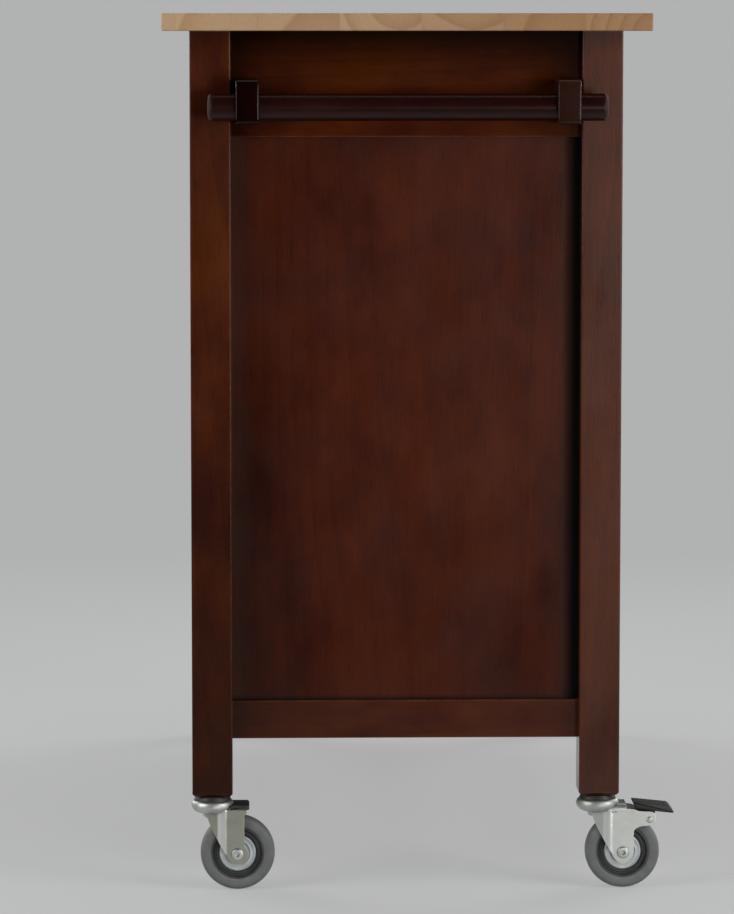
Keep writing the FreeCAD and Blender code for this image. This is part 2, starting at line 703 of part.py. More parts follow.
def make_door(end, side):
    bay = f"{side} * {BAY_X}"
    boards = []
    stile_x = f"({DOOR_WIDTH} - door_stile_width) / 2"
    rail_length = f"({DOOR_WIDTH} - 2 * door_stile_width)"
    for name, sign in (("hinge", side), ("lock", -side)):
        stile = board(f"door_{end}_{name}_stile", ("door_stile_width", "rail_thickness", DOOR_HEIGHT),
                      (f"{bay} + {sign} * {stile_x}", front_y, DOOR_BASE), "rail_ease", "z")
        groove_length = f"({DOOR_HEIGHT} - 2 * door_stile_width + 2 * {TONGUE})"
        block(stile, "groove", (TONGUE, DOOR_GROOVE, groove_length),
              (f"{-sign} * (door_stile_width - {TONGUE}) / 2", DOOR_GROOVE_Y, f"door_stile_width - {TONGUE}"),
              cut=True)
        if name == "lock":
            knob_hole(stile, "knob_hole", "0", f"{KNOB_Z} - {DOOR_BASE}")
        boards.append(stile)
    for name, z, groove_z in (("bottom", "0", f"door_stile_width - {TONGUE}"),
                              ("top", f"{DOOR_HEIGHT} - door_stile_width", "0")):
        rail = board(f"door_{end}_{name}_rail", (rail_length, "rail_thickness", "door_stile_width"),
                     (bay, front_y, f"{DOOR_BASE} + {z}"), "rail_ease", "x")
        block(rail, "groove", (rail_length, DOOR_GROOVE, TONGUE), ("0", DOOR_GROOVE_Y, groove_z), cut=True)
        boards.append(rail)
    group(f"door_{end}_frame", boards)
    keep(board(f"door_{end}_panel",
               (f"{rail_length} + 2 * panel_tongue", "door_panel_thickness",
                f"{DOOR_HEIGHT} - 2 * door_stile_width + 2 * panel_tongue"),
               (bay, f"{front_y} + {DOOR_GROOVE_Y}", f"{DOOR_BASE} + door_stile_width - panel_tongue")))
    make_knob(f"door_{end}_knob",
              (f"{bay} - {side} * {stile_x}", f"-{SIDE_FACE}", KNOB_Z))


for end, side in END_SIDES.items():
    make_door(end, side)


# Butt hinges: the pin stands in front of the door, off the leg by the barrel's radius

HINGE_X = f"({INNER_X} - barrel_wall_gap - barrel_radius)"
HINGE_Y = f"(-({SIDE_FACE} + barrel_radius + hinge_stand_off))"
LEAF_SPAN = "(leaf_depth + barrel_radius + hinge_stand_off)"
KNUCKLE = "(hinge_height / 3)"


def make_leaf(label, side, on_leg, base):
    """One leaf: a strip beside the leg or on the door's edge, and its share of the barrel."""
    leaf = new_body(label)
    strip_x = "(barrel_wall_gap + barrel_radius - leaf_thickness / 2)"
    if not on_leg:
        strip_x = "(barrel_wall_gap + barrel_radius - door_gap + leaf_thickness / 2)"
    strip = ("leaf_thickness", LEAF_SPAN, "hinge_height")
    block(leaf, "strip", strip, (f"{side} * {strip_x}", f"{LEAF_SPAN} / 2", "0"))
    if on_leg:
        block(leaf, "notch", ("4 * barrel_radius", "4 * barrel_radius", f"{KNUCKLE} + 2 * barrel_joint_gap"),
              ("0", "0", f"{KNUCKLE} - barrel_joint_gap"), cut=True)
        rod(leaf, "low_knuckle", "barrel_radius", f"{KNUCKLE} - barrel_joint_gap", ("0", "0", "0"))
        rod(leaf, "high_knuckle", "barrel_radius", f"{KNUCKLE} - barrel_joint_gap",
            ("0", "0", f"2 * {KNUCKLE} + barrel_joint_gap"))
        rod(leaf, "pin", "hinge_pin_radius", "hinge_height", ("0", "0", "0"))
    else:
        for name, z in (("low_notch", "0"), ("high_notch", f"2 * {KNUCKLE}")):
            block(leaf, name, ("4 * barrel_radius", "4 * barrel_radius", KNUCKLE), ("0", "0", z), cut=True)
        rod(leaf, "knuckle", "barrel_radius", KNUCKLE, ("0", "0", KNUCKLE))
        rod(leaf, "pin_bore", "hinge_pin_radius + fit_clearance", "hinge_height", ("0", "0", "0"), cut=True)
    put(leaf, (f"{side} * {HINGE_X}", HINGE_Y, base))
    return leaf


HINGE_BASES = {
    "lower": f"({DOOR_BASE} + hinge_inset - hinge_height / 2)",
    "upper": f"({DOOR_TOP} - door_gap - hinge_inset - hinge_height / 2)",
}
group("hinge_frame_leaves", [
    make_leaf(f"frame_leaf_{end}_{name}", side, True, base)
    for end, side in END_SIDES.items() for name, base in HINGE_BASES.items()
])
STRIKE_X = "(stile_width / 2 + catch_inset + catch_length / 2)"
for end, side in END_SIDES.items():
    strike_size = ("catch_length - catch_inset", "strike_thickness", "catch_height - 2 * door_gap")
    strike = board(f"strike_{end}", strike_size,
                   (f"{side} * {STRIKE_X}", f"{BOX_Y} + strike_thickness / 2", f"{DOOR_TOP} - catch_height"))
    leaves = [make_leaf(f"door_leaf_{end}_{name}", side, False, base) for name, base in HINGE_BASES.items()]
    group(f"door_{end}_fittings", leaves + [strike])
group("door_catches", [
    board(f"catch_{end}", ("catch_length", "catch_depth", "catch_height"),
          (f"{side} * {STRIKE_X}", f"{BOX_Y} + strike_thickness + catch_gap + catch_depth / 2",
           f"{DOOR_TOP} - catch_height"))
    for end, side in END_SIDES.items()
])

# Casters: everything in the caster's own frame, swivel axis up, wheel trailing to -Y

CROWN_TOP = "(leg_ground_gap - crown_top_gap)"
CROWN_BAND_TOP = f"({CROWN_TOP} - crown_shoulder)"
CROWN_FLOOR_TOP = "(leg_ground_gap - race_depth - fit_clearance)"
CROWN_FLOOR = f"({CROWN_FLOOR_TOP} - crown_floor)"
CROWN_BAND_BASE = f"({CROWN_BAND_TOP} - crown_band)"
SKIRT_Z = f"({AXLE_Z} + crown_skirt_rise)"
WEB_Z = f"({AXLE_Z} + fork_web_low)"
PLATE_HALF = "(fork_gap / 2 + fork_sheet)"
FORK_BACK = "(caster_trail + fork_end_radius)"


def make_fork(label, corner_x, corner_y, brake):
    fork = new_body(label)
    web_top = f"({WEB_Z} + fork_web)"
    back = FORK_BACK if brake else "(caster_trail + plain_fork_back)"
    sides = [
        ("fork_neck_front", web_top),
        ("fork_neck_front", f"{AXLE_Z} + fork_neck_rise"),
        ("fork_knee_front", f"{AXLE_Z} + fork_knee_rise"),
        ("-(caster_trail - fork_end_radius * cos(fork_edge_angle))",
         f"{AXLE_Z} - fork_end_radius * sin(fork_edge_angle)"),
        ("-caster_trail", AXLE_Z),
        (f"-{back}", AXLE_Z),
    ]
    if brake:
        sides += [
            (f"-{FORK_BACK}", f"{AXLE_Z} + ear_low"),
            ("-ear_reach", f"{AXLE_Z} + ear_low"),
            ("-ear_reach", f"{AXLE_Z} + ear_high"),
            (f"-{FORK_BACK}", f"{AXLE_Z} + ear_high"),
            (f"-{FORK_BACK}", web_top),
        ]
    else:
        sides += [
            (f"-{back}", WEB_Z),
            (f"-({back} + fork_tab_reach)", WEB_Z),
            (f"-({back} + fork_tab_reach)", web_top),
        ]
    pad(fork, "sides", "YZ_Plane", sides, f"2 * {PLATE_HALF}")
    if brake:
        across = runs_along("x")
        heel = -value(back)
        ear = -value("ear_reach")
        near = value("fork_sheet")
        notch_z = value(f"{AXLE_Z} + ear_low")
        dress(fork, "Fillet", "notch", "ear_notch", lambda edge: across(edge)
              and abs(edge.BoundBox.YMin - heel) < near and abs(edge.BoundBox.ZMin - notch_z) < near)
        dress(fork, "Fillet", "ear", "ear_round", lambda edge: across(edge)
              and abs(edge.BoundBox.YMin - ear) < near)
    rod(fork, "axle_end", "fork_end_radius", f"2 * {PLATE_HALF}",
        (f"-{PLATE_HALF}", "-caster_trail", AXLE_Z), ALONG_X)
    block(fork, "wheel_gap", ("fork_gap", "2 * (ear_reach + overrun)", WEB_Z), ("0", "0", "0"), cut=True)
    if brake:
        block(fork, "lever_gap", ("fork_gap", "ear_reach", "fork_web_low + 2 * fork_web"),
              ("0", "-brake_web_end - ear_reach / 2", AXLE_Z), cut=True)
    turned(fork, "crown", [
        ("stem_radius + fit_clearance", CROWN_FLOOR),
        ("stem_radius + fit_clearance", CROWN_FLOOR_TOP),
        ("race_radius + fit_clearance", CROWN_FLOOR_TOP),
        ("race_radius + fit_clearance", CROWN_TOP),
        ("crown_top_radius", CROWN_TOP),
        ("crown_radius", CROWN_BAND_TOP),
        ("crown_radius", CROWN_BAND_BASE),
        ("crown_skirt_radius", SKIRT_Z),
        ("crown_skirt_radius - crown_skirt_sheet", SKIRT_Z),
        (f"crown_skirt_radius - crown_skirt_sheet + {CROWN_FLOOR} - {SKIRT_Z}", CROWN_FLOOR),
    ])
    rod(fork, "stem_bore", "stem_radius + fit_clearance", f"{CROWN_FLOOR_TOP} - {CROWN_FLOOR} + 2 * overrun",
        ("0", "0", f"{CROWN_FLOOR} - overrun"), cut=True)
    rod(fork, "race_bore", "race_radius + fit_clearance", "race_depth + overrun", ("0", "0", CROWN_FLOOR_TOP),
        cut=True)
    rod(fork, "head_bore", "stem_head_radius + stem_head_gap", "stem_head + 2 * stem_head_gap + overrun",
        ("0", "0", f"{CROWN_FLOOR} - stem_head - 2 * stem_head_gap - overrun"), cut=True)
    rod(fork, "axle_bore", "axle_radius + fit_clearance", f"2 * {PLATE_HALF} + 2 * overrun",
        (f"-{PLATE_HALF} - overrun", "-caster_trail", AXLE_Z), ALONG_X, cut=True)
    if brake:
        rod(fork, "rivet_bore", "rivet_radius + fit_clearance", f"2 * {PLATE_HALF} + 2 * overrun",
            (f"-{PLATE_HALF} - overrun", "-lever_pivot_reach", f"{AXLE_Z} + lever_pivot_rise"), ALONG_X,
            cut=True)
    put(fork, (corner_x, corner_y, "0"))
    keep(fork)


def make_wheel(corner, corner_x, corner_y):
    """Tyre, core and two hub covers, turned about the axle."""
    axle = (corner_x, f"{corner_y} - caster_trail", AXLE_Z)
    half_tread = "(tread_width / 2)"
    tyre = new_body(f"caster_{corner}_tyre")
    turned(tyre, "tyre", [
        ("core_radius + fit_clearance", "-(core_rim_width / 2)"),
        ("tyre_shoulder_radius", f"-{half_tread}"),
        ("wheel_radius", "-(tread_flat / 2)"),
        ("wheel_radius", "(tread_flat / 2)"),
        ("tyre_shoulder_radius", half_tread),
        ("core_radius + fit_clearance", "(core_rim_width / 2)"),
    ])
    put(tyre, axle, ALONG_X)
    keep(tyre)
    core = new_body(f"core_{corner}")
    rim_inner = "(core_radius - core_rim)"
    profile = []
    for sign in (-1, 1):
        steps = [
            ("axle_radius + fit_clearance", f"{sign} * hub_width / 2"),
            ("hub_radius", f"{sign} * hub_width / 2"),
            ("hub_radius", f"{sign} * core_web_width / 2"),
            (rim_inner, f"{sign} * core_web_width / 2"),
            (rim_inner, f"{sign} * core_rim_width / 2"),
            ("core_radius", f"{sign} * core_rim_width / 2"),
        ]
        if sign > 0:
            steps.reverse()
        profile += steps
    turned(core, "core", profile)
    put(core, axle, ALONG_X)
    pieces = [core]
    for name, sign in (("near", -1), ("far", 1)):
        cover = new_body(f"hub_cover_{corner}_{name}")
        bore = "(hub_radius + fit_clearance)"
        base = "core_web_width / 2"
        turned(cover, "cover", [
            (bore, f"{sign} * {base}"),
            ("cover_radius", f"{sign} * {base}"),
            ("cover_radius", f"{sign} * ({base} + cover_thickness - cover_bevel)"),
            ("cover_radius - cover_bevel", f"{sign} * ({base} + cover_thickness)"),
            (bore, f"{sign} * ({base} + cover_thickness)"),
        ])
        put(cover, axle, ALONG_X)
        pieces.append(cover)
    group(f"caster_{corner}_core", pieces)


def make_axle(corner, corner_x, corner_y, brake):
    """Axle bolt and nut, and the brake's rivet where there is one."""
    axle = (corner_x, f"{corner_y} - caster_trail", AXLE_Z)
    bolt = new_body(f"axle_bolt_{corner}")
    rod(bolt, "shank", "axle_radius", f"2 * {PLATE_HALF} + axle_nut + axle_tail",
        ("0", "0", f"-{PLATE_HALF}"))
    rod(bolt, "head", "axle_head_radius", "axle_head", ("0", "0", f"-{PLATE_HALF} - axle_head"))
    rod(bolt, "recess", "axle_recess_radius", "axle_recess", ("0", "0", f"-{PLATE_HALF} - axle_head"),
        cut=True)
    put(bolt, axle, ALONG_X)
    nut = new_body(f"axle_nut_{corner}")
    prism = nut.newObject("PartDesign::AdditivePrism", f"nut_{corner}")
    prism.Polygon = 6
    bind(prism, "Circumradius", "axle_nut_radius")
    bind(prism, "Height", "axle_nut")
    rod(nut, "bore", "axle_radius + fit_clearance", "axle_nut", ("0", "0", "0"), cut=True)
    put(nut, (f"{corner_x} + {PLATE_HALF}", axle[1], axle[2]), ALONG_X)
    pieces = [bolt, nut]
    if brake:
        rivet = new_body(f"brake_rivet_{corner}")
        rod(rivet, "shank", "rivet_radius", f"2 * {PLATE_HALF}", ("0", "0", f"-{PLATE_HALF}"))
        for name, z in (("near_head", f"-{PLATE_HALF} - rivet_head"), ("far_head", PLATE_HALF)):
            rod(rivet, name, "rivet_head_radius", "rivet_head", ("0", "0", z))
        put(rivet, (corner_x, f"{corner_y} - lever_pivot_reach", f"{AXLE_Z} + lever_pivot_rise"), ALONG_X)
        pieces.append(rivet)
    group(f"caster_{corner}_axle", pieces)


def make_lever(corner, corner_x, corner_y):
    """Pedal, arm and cam in one pressing; the cam stands just off the tyre."""
    lever = new_body(f"caster_{corner}_brake_lever")
    pad(lever, "pedal", "YZ_Plane", [
        ("-lever_root_reach", f"{AXLE_Z} + lever_root_rise"),
        ("-lever_brow_reach", f"{AXLE_Z} + lever_brow_rise"),
        ("-lever_reach", f"{AXLE_Z} + lever_tip_rise"),
        ("-lever_reach", f"{AXLE_Z} + lever_tip_rise - lever_tip_thickness"),
        ("-lever_heel_reach", f"{AXLE_Z} + lever_heel_rise"),
    ], "lever_width")
    pivot_y = "lever_pivot_reach"
    pivot_z = f"({AXLE_Z} + lever_pivot_rise)"
    pedal_z = f"({AXLE_Z} + lever_tip_rise + lever_tip_thickness)"
    pad(lever, "arm", "YZ_Plane", [
        (f"-({pivot_y} - lever_arm_reach)", pedal_z),
        (f"-({pivot_y} - lever_arm_foot)", f"{pivot_z} - lever_arm_low"),
        (f"-({pivot_y} + lever_arm_foot)", f"{pivot_z} - lever_arm_low"),
        (f"-({pivot_y} + lever_arm_reach)", pedal_z),
    ], "lever_width")
    cam_y = f"-({pivot_y} - cam_offset * sin(cam_angle))"
    cam_z = f"({pivot_z} - cam_offset * cos(cam_angle))"
    rod(lever, "cam", "cam_radius", "lever_width", ("-lever_width / 2", cam_y, cam_z), ALONG_X)
    rod(lever, "rivet_bore", "rivet_radius + fit_clearance", "lever_width + 2 * overrun",
        ("-lever_width / 2 - overrun", f"-{pivot_y}", pivot_z), ALONG_X, cut=True)
    put(lever, (corner_x, corner_y, "0"))
    keep(lever)


stems = []
for corner, (x_side, y_side) in CORNERS.items():
    corner_x = f"{x_side} * {LEG_X}"
    corner_y = f"{y_side} * {LEG_Y}"
    brake = y_side < 0
    make_fork(f"caster_{corner}_fork", corner_x, corner_y, brake)
    make_wheel(corner, corner_x, corner_y)
    make_axle(corner, corner_x, corner_y, brake)
    if brake:
        make_lever(corner, corner_x, corner_y)
    stem = new_body(f"stem_{corner}")
    stem_base = f"({CROWN_FLOOR} - stem_head - stem_head_gap)"
    rod(stem, "shank", "stem_radius", f"leg_ground_gap + stem_length - fit_clearance - {stem_base}",
        ("0", "0", stem_base))
    rod(stem, "head", "stem_head_radius", "stem_head", ("0", "0", stem_base))
    rod(stem, "race", "race_radius", "race_depth", ("0", "0", "leg_ground_gap - race_depth"))
    put(stem, (corner_x, corner_y, "0"))
    stems.append(stem)
group("caster_stems", stems)

# Every object is checked before anything is written

doc.recompute()
faults = []
for item in doc.Objects:
    if "Invalid" in item.State or "Error" in item.State:
        faults.append(f"{item.Label}: {item.State}")
for node in NODES:
    if node.Shape.isNull() or not node.Shape.isValid() or not node.Shape.Solids:
        faults.append(f"{node.Label}: no valid solid")
if faults:
    raise SystemExit("\n".join(faults))

os.makedirs("parts", exist_ok=True)
for node in NODES:
    node.Shape.exportStep(f"parts/{node.Label}.step")
whole = Part.makeCompound([node.Shape for node in NODES]).optimalBoundingBox()
print(f"{len(NODES)} nodes, {sum(len(node.Shape.Solids) for node in NODES)} solids")
print(f"x {whole.XMin:.2f} to {whole.XMax:.2f}, y {whole.YMin:.2f} to {whole.YMax:.2f}, "
      f"z {whole.ZMin:.2f} to {whole.ZMax:.2f} mm")
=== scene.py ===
# %% [markdown]
# # A kitchen cart on casters
# The cart is a cabinet of dark stained boards under a pale worktop, with a towel bar across one end. Its
# joinery comes from the CAD model, which this script never moves. Here it gets its looks: timber, lacquer,
# zinc plate and rubber. What is turned, pressed or moulded on the real cart is made here as surfaces.

# %% Load the frame
import math

import bmesh
import bpy
import numpy as np
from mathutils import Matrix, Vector


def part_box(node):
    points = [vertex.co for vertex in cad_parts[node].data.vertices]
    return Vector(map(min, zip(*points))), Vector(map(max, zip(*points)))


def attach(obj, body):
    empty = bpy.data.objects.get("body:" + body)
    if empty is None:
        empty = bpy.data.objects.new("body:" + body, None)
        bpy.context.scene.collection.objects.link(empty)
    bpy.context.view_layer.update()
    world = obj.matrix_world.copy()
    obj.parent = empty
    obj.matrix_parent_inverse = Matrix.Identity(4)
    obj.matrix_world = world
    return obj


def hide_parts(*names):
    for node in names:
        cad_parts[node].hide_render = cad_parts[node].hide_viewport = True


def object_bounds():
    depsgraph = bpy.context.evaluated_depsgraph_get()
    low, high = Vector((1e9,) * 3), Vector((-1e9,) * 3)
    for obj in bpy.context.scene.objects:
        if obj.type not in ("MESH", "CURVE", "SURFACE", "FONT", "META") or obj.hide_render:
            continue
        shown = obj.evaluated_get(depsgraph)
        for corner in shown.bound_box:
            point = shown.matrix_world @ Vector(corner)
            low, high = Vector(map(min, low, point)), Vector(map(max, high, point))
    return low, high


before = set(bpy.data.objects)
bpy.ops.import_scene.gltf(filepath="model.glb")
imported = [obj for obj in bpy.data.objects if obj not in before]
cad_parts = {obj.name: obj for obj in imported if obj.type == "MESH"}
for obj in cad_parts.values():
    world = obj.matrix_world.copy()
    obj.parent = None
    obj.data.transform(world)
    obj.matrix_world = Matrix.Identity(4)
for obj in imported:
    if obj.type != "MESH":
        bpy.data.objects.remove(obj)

MM = 0.001
cad_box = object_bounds()

# %% [markdown]
# ## Camera
# The photograph looks at the end with the towel bar, from about the height of the worktop: its top face is
# seen edge-on, and the casters of the far end hide behind the lower rail. A long lens keeps the end flat.

# %% Camera
end_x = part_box("leg_front_left")[0].x
CAMERA_BACK = 4.40
CAMERA_Y = 0.171
CAMERA_Z = 0.909
AIM_Y = 0.055
AIM_Z = 0.457
LENS = 168.2


def turn_to(item, target):
    """Turns a camera or lamp so that its -Z axis points at the target."""
    item.rotation_euler = (Vector(target) - item.location).to_track_quat("-Z", "Y").to_euler()


camera = bpy.data.objects.new("camera", bpy.data.cameras.new("camera"))
camera.data.lens = LENS
camera.location = (end_x - CAMERA_BACK, CAMERA_Y, CAMERA_Z)
turn_to(camera, (end_x, AIM_Y, AIM_Z))
bpy.context.scene.collection.objects.link(camera)
bpy.context.scene.camera = camera
print("camera at", tuple(round(v, 3) for v in camera.location))

# %% [markdown]
# ## Surfaces from formulas
# Every new piece is a grid of points worked out with numpy. A row of the grid is a profile, and the rows
# follow one another along a path or round an axis. One helper turns such grids into faces, and another makes
# one closed mesh of them, so a piece is only ever its formula.


# %% Grids and meshes
def grid_faces(rows, columns, wrap_rows=False, wrap_columns=False):
    """Quads of a grid: a point, the one below it, the one below its neighbour, and its neighbour. A wrapped
    direction joins its last line to its first."""
    row = np.arange(rows if wrap_rows else rows - 1)
    column = np.arange(columns if wrap_columns else columns - 1)
    row, column = np.meshgrid(row, column, indexing="ij")
    below = (row + 1) % rows * columns
    beside = (column + 1) % columns
    row = row * columns
    return np.stack([row + column, below + column, below + beside, row + beside], -1).reshape(-1, 4)


def grid(points, wrap_rows=False, wrap_columns=False):
    """A grid of points as (points, faces)."""
    return points.reshape(-1, 3), grid_faces(*points.shape[:2], wrap_rows, wrap_columns).tolist()


def joined(parts):
    """Several (points, faces) as one, with the faces renumbered."""
    points, faces, count = [], [], 0
    for part_points, part_faces in parts:
        points.append(part_points)
        faces += [[index + count for index in face] for face in part_faces]
        count += len(part_points)
    return np.concatenate(points), faces


SMOOTH_UNDER = math.radians(34)
MERGE = 0.00002
TINY = 1e-12


def piece(name, parts, material, body, replaces=(), closed=True):
    """One object made of grids in metres. Points that meet are merged, and a closed shell's faces are turned
    outwards. Edges sharper than SMOOTH_UNDER stay crisp."""
    points, faces = joined(parts)
    mesh = bpy.data.meshes.new(name)
    mesh.from_pydata(points.tolist(), [], faces)
    work = bmesh.new()
    work.from_mesh(mesh)
    bmesh.ops.remove_doubles(work, verts=work.verts, dist=MERGE)
    bmesh.ops.dissolve_degenerate(work, edges=work.edges, dist=MERGE)
    if closed:
        bmesh.ops.recalc_face_normals(work, faces=work.faces)
    work.to_mesh(mesh)
    work.free()
    mesh.shade_smooth()
    mesh.set_sharp_from_angle(angle=SMOOTH_UNDER)
    mesh.materials.append(material)
    made = bpy.data.objects.new(name, mesh)
    bpy.context.scene.collection.objects.link(made)
    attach(made, body)
    if replaces:
        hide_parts(*replaces)
    return made


def softened(corners, radius, steps=5, closed=False):
    """A line through the corners with each corner rounded: a quadratic curve from one radius before it to one
    radius after it, pulled towards the corner. Short sides shorten the radius."""
    corners = np.asarray(corners, float)
    before, after = np.roll(corners, 1, 0) - corners, np.roll(corners, -1, 0) - corners
    near = [np.linalg.norm(side, axis=1, keepdims=True) + TINY for side in (before, after)]
    reach = [np.minimum(radius / length, 0.5) for length in near]
    start, stop = corners + before * reach[0], corners + after * reach[1]
    t = np.linspace(0, 1, steps)[None, :, None]
    curve = (1 - t) ** 2 * start[:, None] + 2 * t * (1 - t) * corners[:, None] + t ** 2 * stop[:, None]
    if closed:
        return curve.reshape(-1, 2)
    return np.concatenate([corners[:1], curve[1:-1].reshape(-1, 2), corners[-1:]])


def lathe(profile, sides=72):
    """A profile of (radius, height) turned about the Z axis: x = r cos a, y = r sin a, z = h."""
    angle = np.linspace(0, 2 * math.pi, sides, endpoint=False)
    radius, height = profile[:, :1], profile[:, 1:]
    x, y = radius * np.cos(angle), radius * np.sin(angle)
    return grid(np.stack([x, y, np.broadcast_to(height, x.shape)], -1), wrap_columns=True)


def slab(outline, width, rim, steps=4):
    """A flat outline given thickness across the third axis. Over the last rim of its width each side draws in
    along its own normal by rim (1 - cos a) while it moves out by rim sin a, so the edge is a quarter circle.
    Two rows just inside the rims keep the flat side's shading flat."""
    tangent = np.roll(outline, -1, 0) - np.roll(outline, 1, 0)
    length = np.linalg.norm(tangent, axis=1, keepdims=True) + TINY
    normal = np.stack([tangent[:, 1], -tangent[:, 0]], -1) / length
    area = np.sum(outline[:, 0] * np.roll(outline[:, 1], -1) - outline[:, 1] * np.roll(outline[:, 0], -1))
    normal *= np.sign(area)
    turn = np.linspace(0, math.pi / 2, steps)
    inset = np.concatenate([rim * (1 - np.sin(turn)), [0, 0], rim * (1 - np.cos(turn))])[:, None, None]
    flat_half = max(width / 2 - rim - 0.3, 0.1)
    across = np.concatenate([-width / 2 + rim * (1 - np.cos(turn)), [-flat_half, flat_half],
                             width / 2 - rim * (1 - np.sin(turn))])
    flat = outline[None] - normal[None] * inset
    level = np.broadcast_to(across[:, None, None], flat.shape[:2] + (1,))
    points, faces = grid(np.concatenate([flat, level], -1), wrap_columns=True)
    count, last = len(outline), (len(across) - 1) * len(outline)
    return points, faces + [list(range(count)), list(range(last + count - 1, last - 1, -1))]


def turned_to(part, axes, place):
    """A part with its own axes laid along the frame's, such as "zxy" for its z along X, then moved."""
    points, faces = part
    return points[:, ["xyz".index(letter) for letter in axes]] + np.asarray(place, float), faces


# %% [markdown]
# ## Shader building
# A material is a small program: coordinates go in, colour, roughness and height come out. A few short helpers
# keep the wiring readable. What several finishes share, such as the figure of timber, is a node group.


# %% Shader helpers
def add(tree, kind, sockets=None, **settings):
    """One shader node. settings are its properties. sockets are its inputs, each a value or an output."""
    made = tree.nodes.new("ShaderNode" + kind)
    for key, setting in settings.items():
        setattr(made, key, setting)
    for socket, source in (sockets or {}).items():
        if isinstance(source, bpy.types.NodeSocket):
            tree.links.new(source, made.inputs[socket])
        else:
            made.inputs[socket].default_value = source
    return made


def calc(tree, operation, first, second=0.0, third=0.0):
    return add(tree, "Math", {0: first, 1: second, 2: third}, operation=operation).outputs[0]


def noise(tree, vector, scale, detail=2.0, roughness=0.5):
    sockets = {"Vector": vector, "Scale": scale, "Detail": detail, "Roughness": roughness}
    return add(tree, "TexNoise", sockets).outputs["Fac"]


def stretched(tree, vector, scale):
    return add(tree, "VectorMath", {0: vector, 1: scale}, operation="MULTIPLY").outputs[0]


def between(tree, number, low, high, to_low=0.0, to_high=1.0):
    """The number's place between low and high, held to that span, as a value from to_low to to_high."""
    return add(tree, "MapRange", {0: number, 1: low, 2: high, 3: to_low, 4: to_high}).outputs[0]


def blend(tree, share, first, second, kind="MIX"):
    made = add(tree, "Mix", {0: share, 6: first, 7: second}, data_type="RGBA", blend_type=kind)
    return made.outputs[2]


def grey(tree, shade):
    return add(tree, "CombineXYZ", {0: shade, 1: shade, 2: shade}).outputs[0]


def multiplied(tree, share, colour, tint):
    """The colour, of which the given share is multiplied by the tint."""
    return blend(tree, share, colour, blend(tree, 1.0, colour, tint, "MULTIPLY"))


def new_group(name, inputs, outputs):
    """An empty node group with its input and output nodes. Sockets are given as name: kind."""
    tree = bpy.data.node_groups.new(name, "ShaderNodeTree")
    for way, sockets in (("INPUT", inputs), ("OUTPUT", outputs)):
        for label, kind in sockets.items():
            tree.interface.new_socket(label, in_out=way, socket_type="NodeSocket" + kind)
    return tree, tree.nodes.new("NodeGroupInput").outputs, tree.nodes.new("NodeGroupOutput").inputs


def use(tree, group, sockets):
    """A group placed in a material with its own values."""
    made = tree.nodes.new("ShaderNodeGroup")
    made.node_tree = group
    for socket, source in sockets.items():
        if isinstance(source, bpy.types.NodeSocket):
            tree.links.new(source, made.inputs[socket])
        else:
            made.inputs[socket].default_value = source
    return made.outputs


def new_material(name, **constants):
    """A material and its tree. constants go on the shader's own sockets."""
    material = bpy.data.materials.new(name)
    material.use_nodes = True
    tree = material.node_tree
    shader = tree.nodes["Principled BSDF"]
    for socket, setting in constants.items():
        shader.inputs[socket.replace("_", " ")].default_value = setting
    return material, tree, shader


def feed(tree, shader, colour=None, roughness=None, height=None, bump=0.0001, strength=0.3):
    """Links what a finish worked out to the shader. Height passes a Bump node, in metres at full height."""
    if colour is not None:
        tree.links.new(colour, shader.inputs["Base Color"])
    if roughness is not None:
        tree.links.new(roughness, shader.inputs["Roughness"])
    if height is not None:
        raised = add(tree, "Bump", {"Height": height, "Distance": bump, "Strength": strength})
        tree.links.new(raised.outputs[0], shader.inputs["Normal"])


def object_place(tree, location=(0, 0, 0), rotation=(0, 0, 0)):
    """Object coordinates, turned and then moved."""
    place = add(tree, "TexCoord").outputs["Object"]
    return add(tree, "Mapping", {"Vector": place, "Location": location, "Rotation": rotation}).outputs[0]


# %% [markdown]
# ## The figure of timber
# A trunk is rings round a heart. A board is a straight cut out of it, so one solid pattern gives the arcs on
# its end grain and the long lines on its faces. The rings wander a little along the trunk. On top lie fine
# fibres, drawn out along the grain, and short dark pores.

# %% Timber figure group
figure, read, write = new_group(
    "timber_figure",
    {"Vector": "Vector", "Ring width": "Float", "Wander": "Float"},
    {"Rings": "Float", "Fibre": "Float", "Pores": "Float"},
)
slow = stretched(figure, read["Vector"], (0.25, 1, 1))
drift = add(figure, "TexNoise", {"Vector": slow, "Scale": 7.0, "Detail": 2.0})
centred = add(figure, "VectorMath", {0: drift.outputs["Color"], 1: (0.5, 0.5, 0.5)}, operation="SUBTRACT")
swing = add(figure, "VectorMath", {0: centred.outputs[0], "Scale": read["Wander"]}, operation="SCALE")
bent = add(figure, "VectorMath", {0: read["Vector"], 1: swing.outputs[0]}, operation="ADD")
across = stretched(figure, bent.outputs[0], (0.012, 1, 1))
from_heart = add(figure, "VectorMath", {0: across}, operation="LENGTH").outputs["Value"]
ring_count = calc(figure, "DIVIDE", from_heart, read["Ring width"])
phase = calc(figure, "FRACT", ring_count)
late = calc(figure, "POWER", phase, 2.2)
edge = between(figure, phase, 0.93, 1.0, 1.0, 0.0)
figure.links.new(calc(figure, "MULTIPLY", late, edge), write["Rings"])
fibre = noise(figure, stretched(figure, read["Vector"], (22, 300, 300)), 1.0, 3.0, 0.65)
figure.links.new(between(figure, fibre, 0.3, 0.7), write["Fibre"])
specks = noise(figure, stretched(figure, read["Vector"], (55, 900, 900)), 1.0, 1.0)
figure.links.new(between(figure, specks, 0.60, 0.70), write["Pores"])

# %% [markdown]
# ## Worn and rubbed edges
# Stain is thinner where a sander went over an edge, and hands polish it further. A bevelled normal differs
# from the true one only near an edge, so the difference is a mask of the edges. Noise breaks it up.

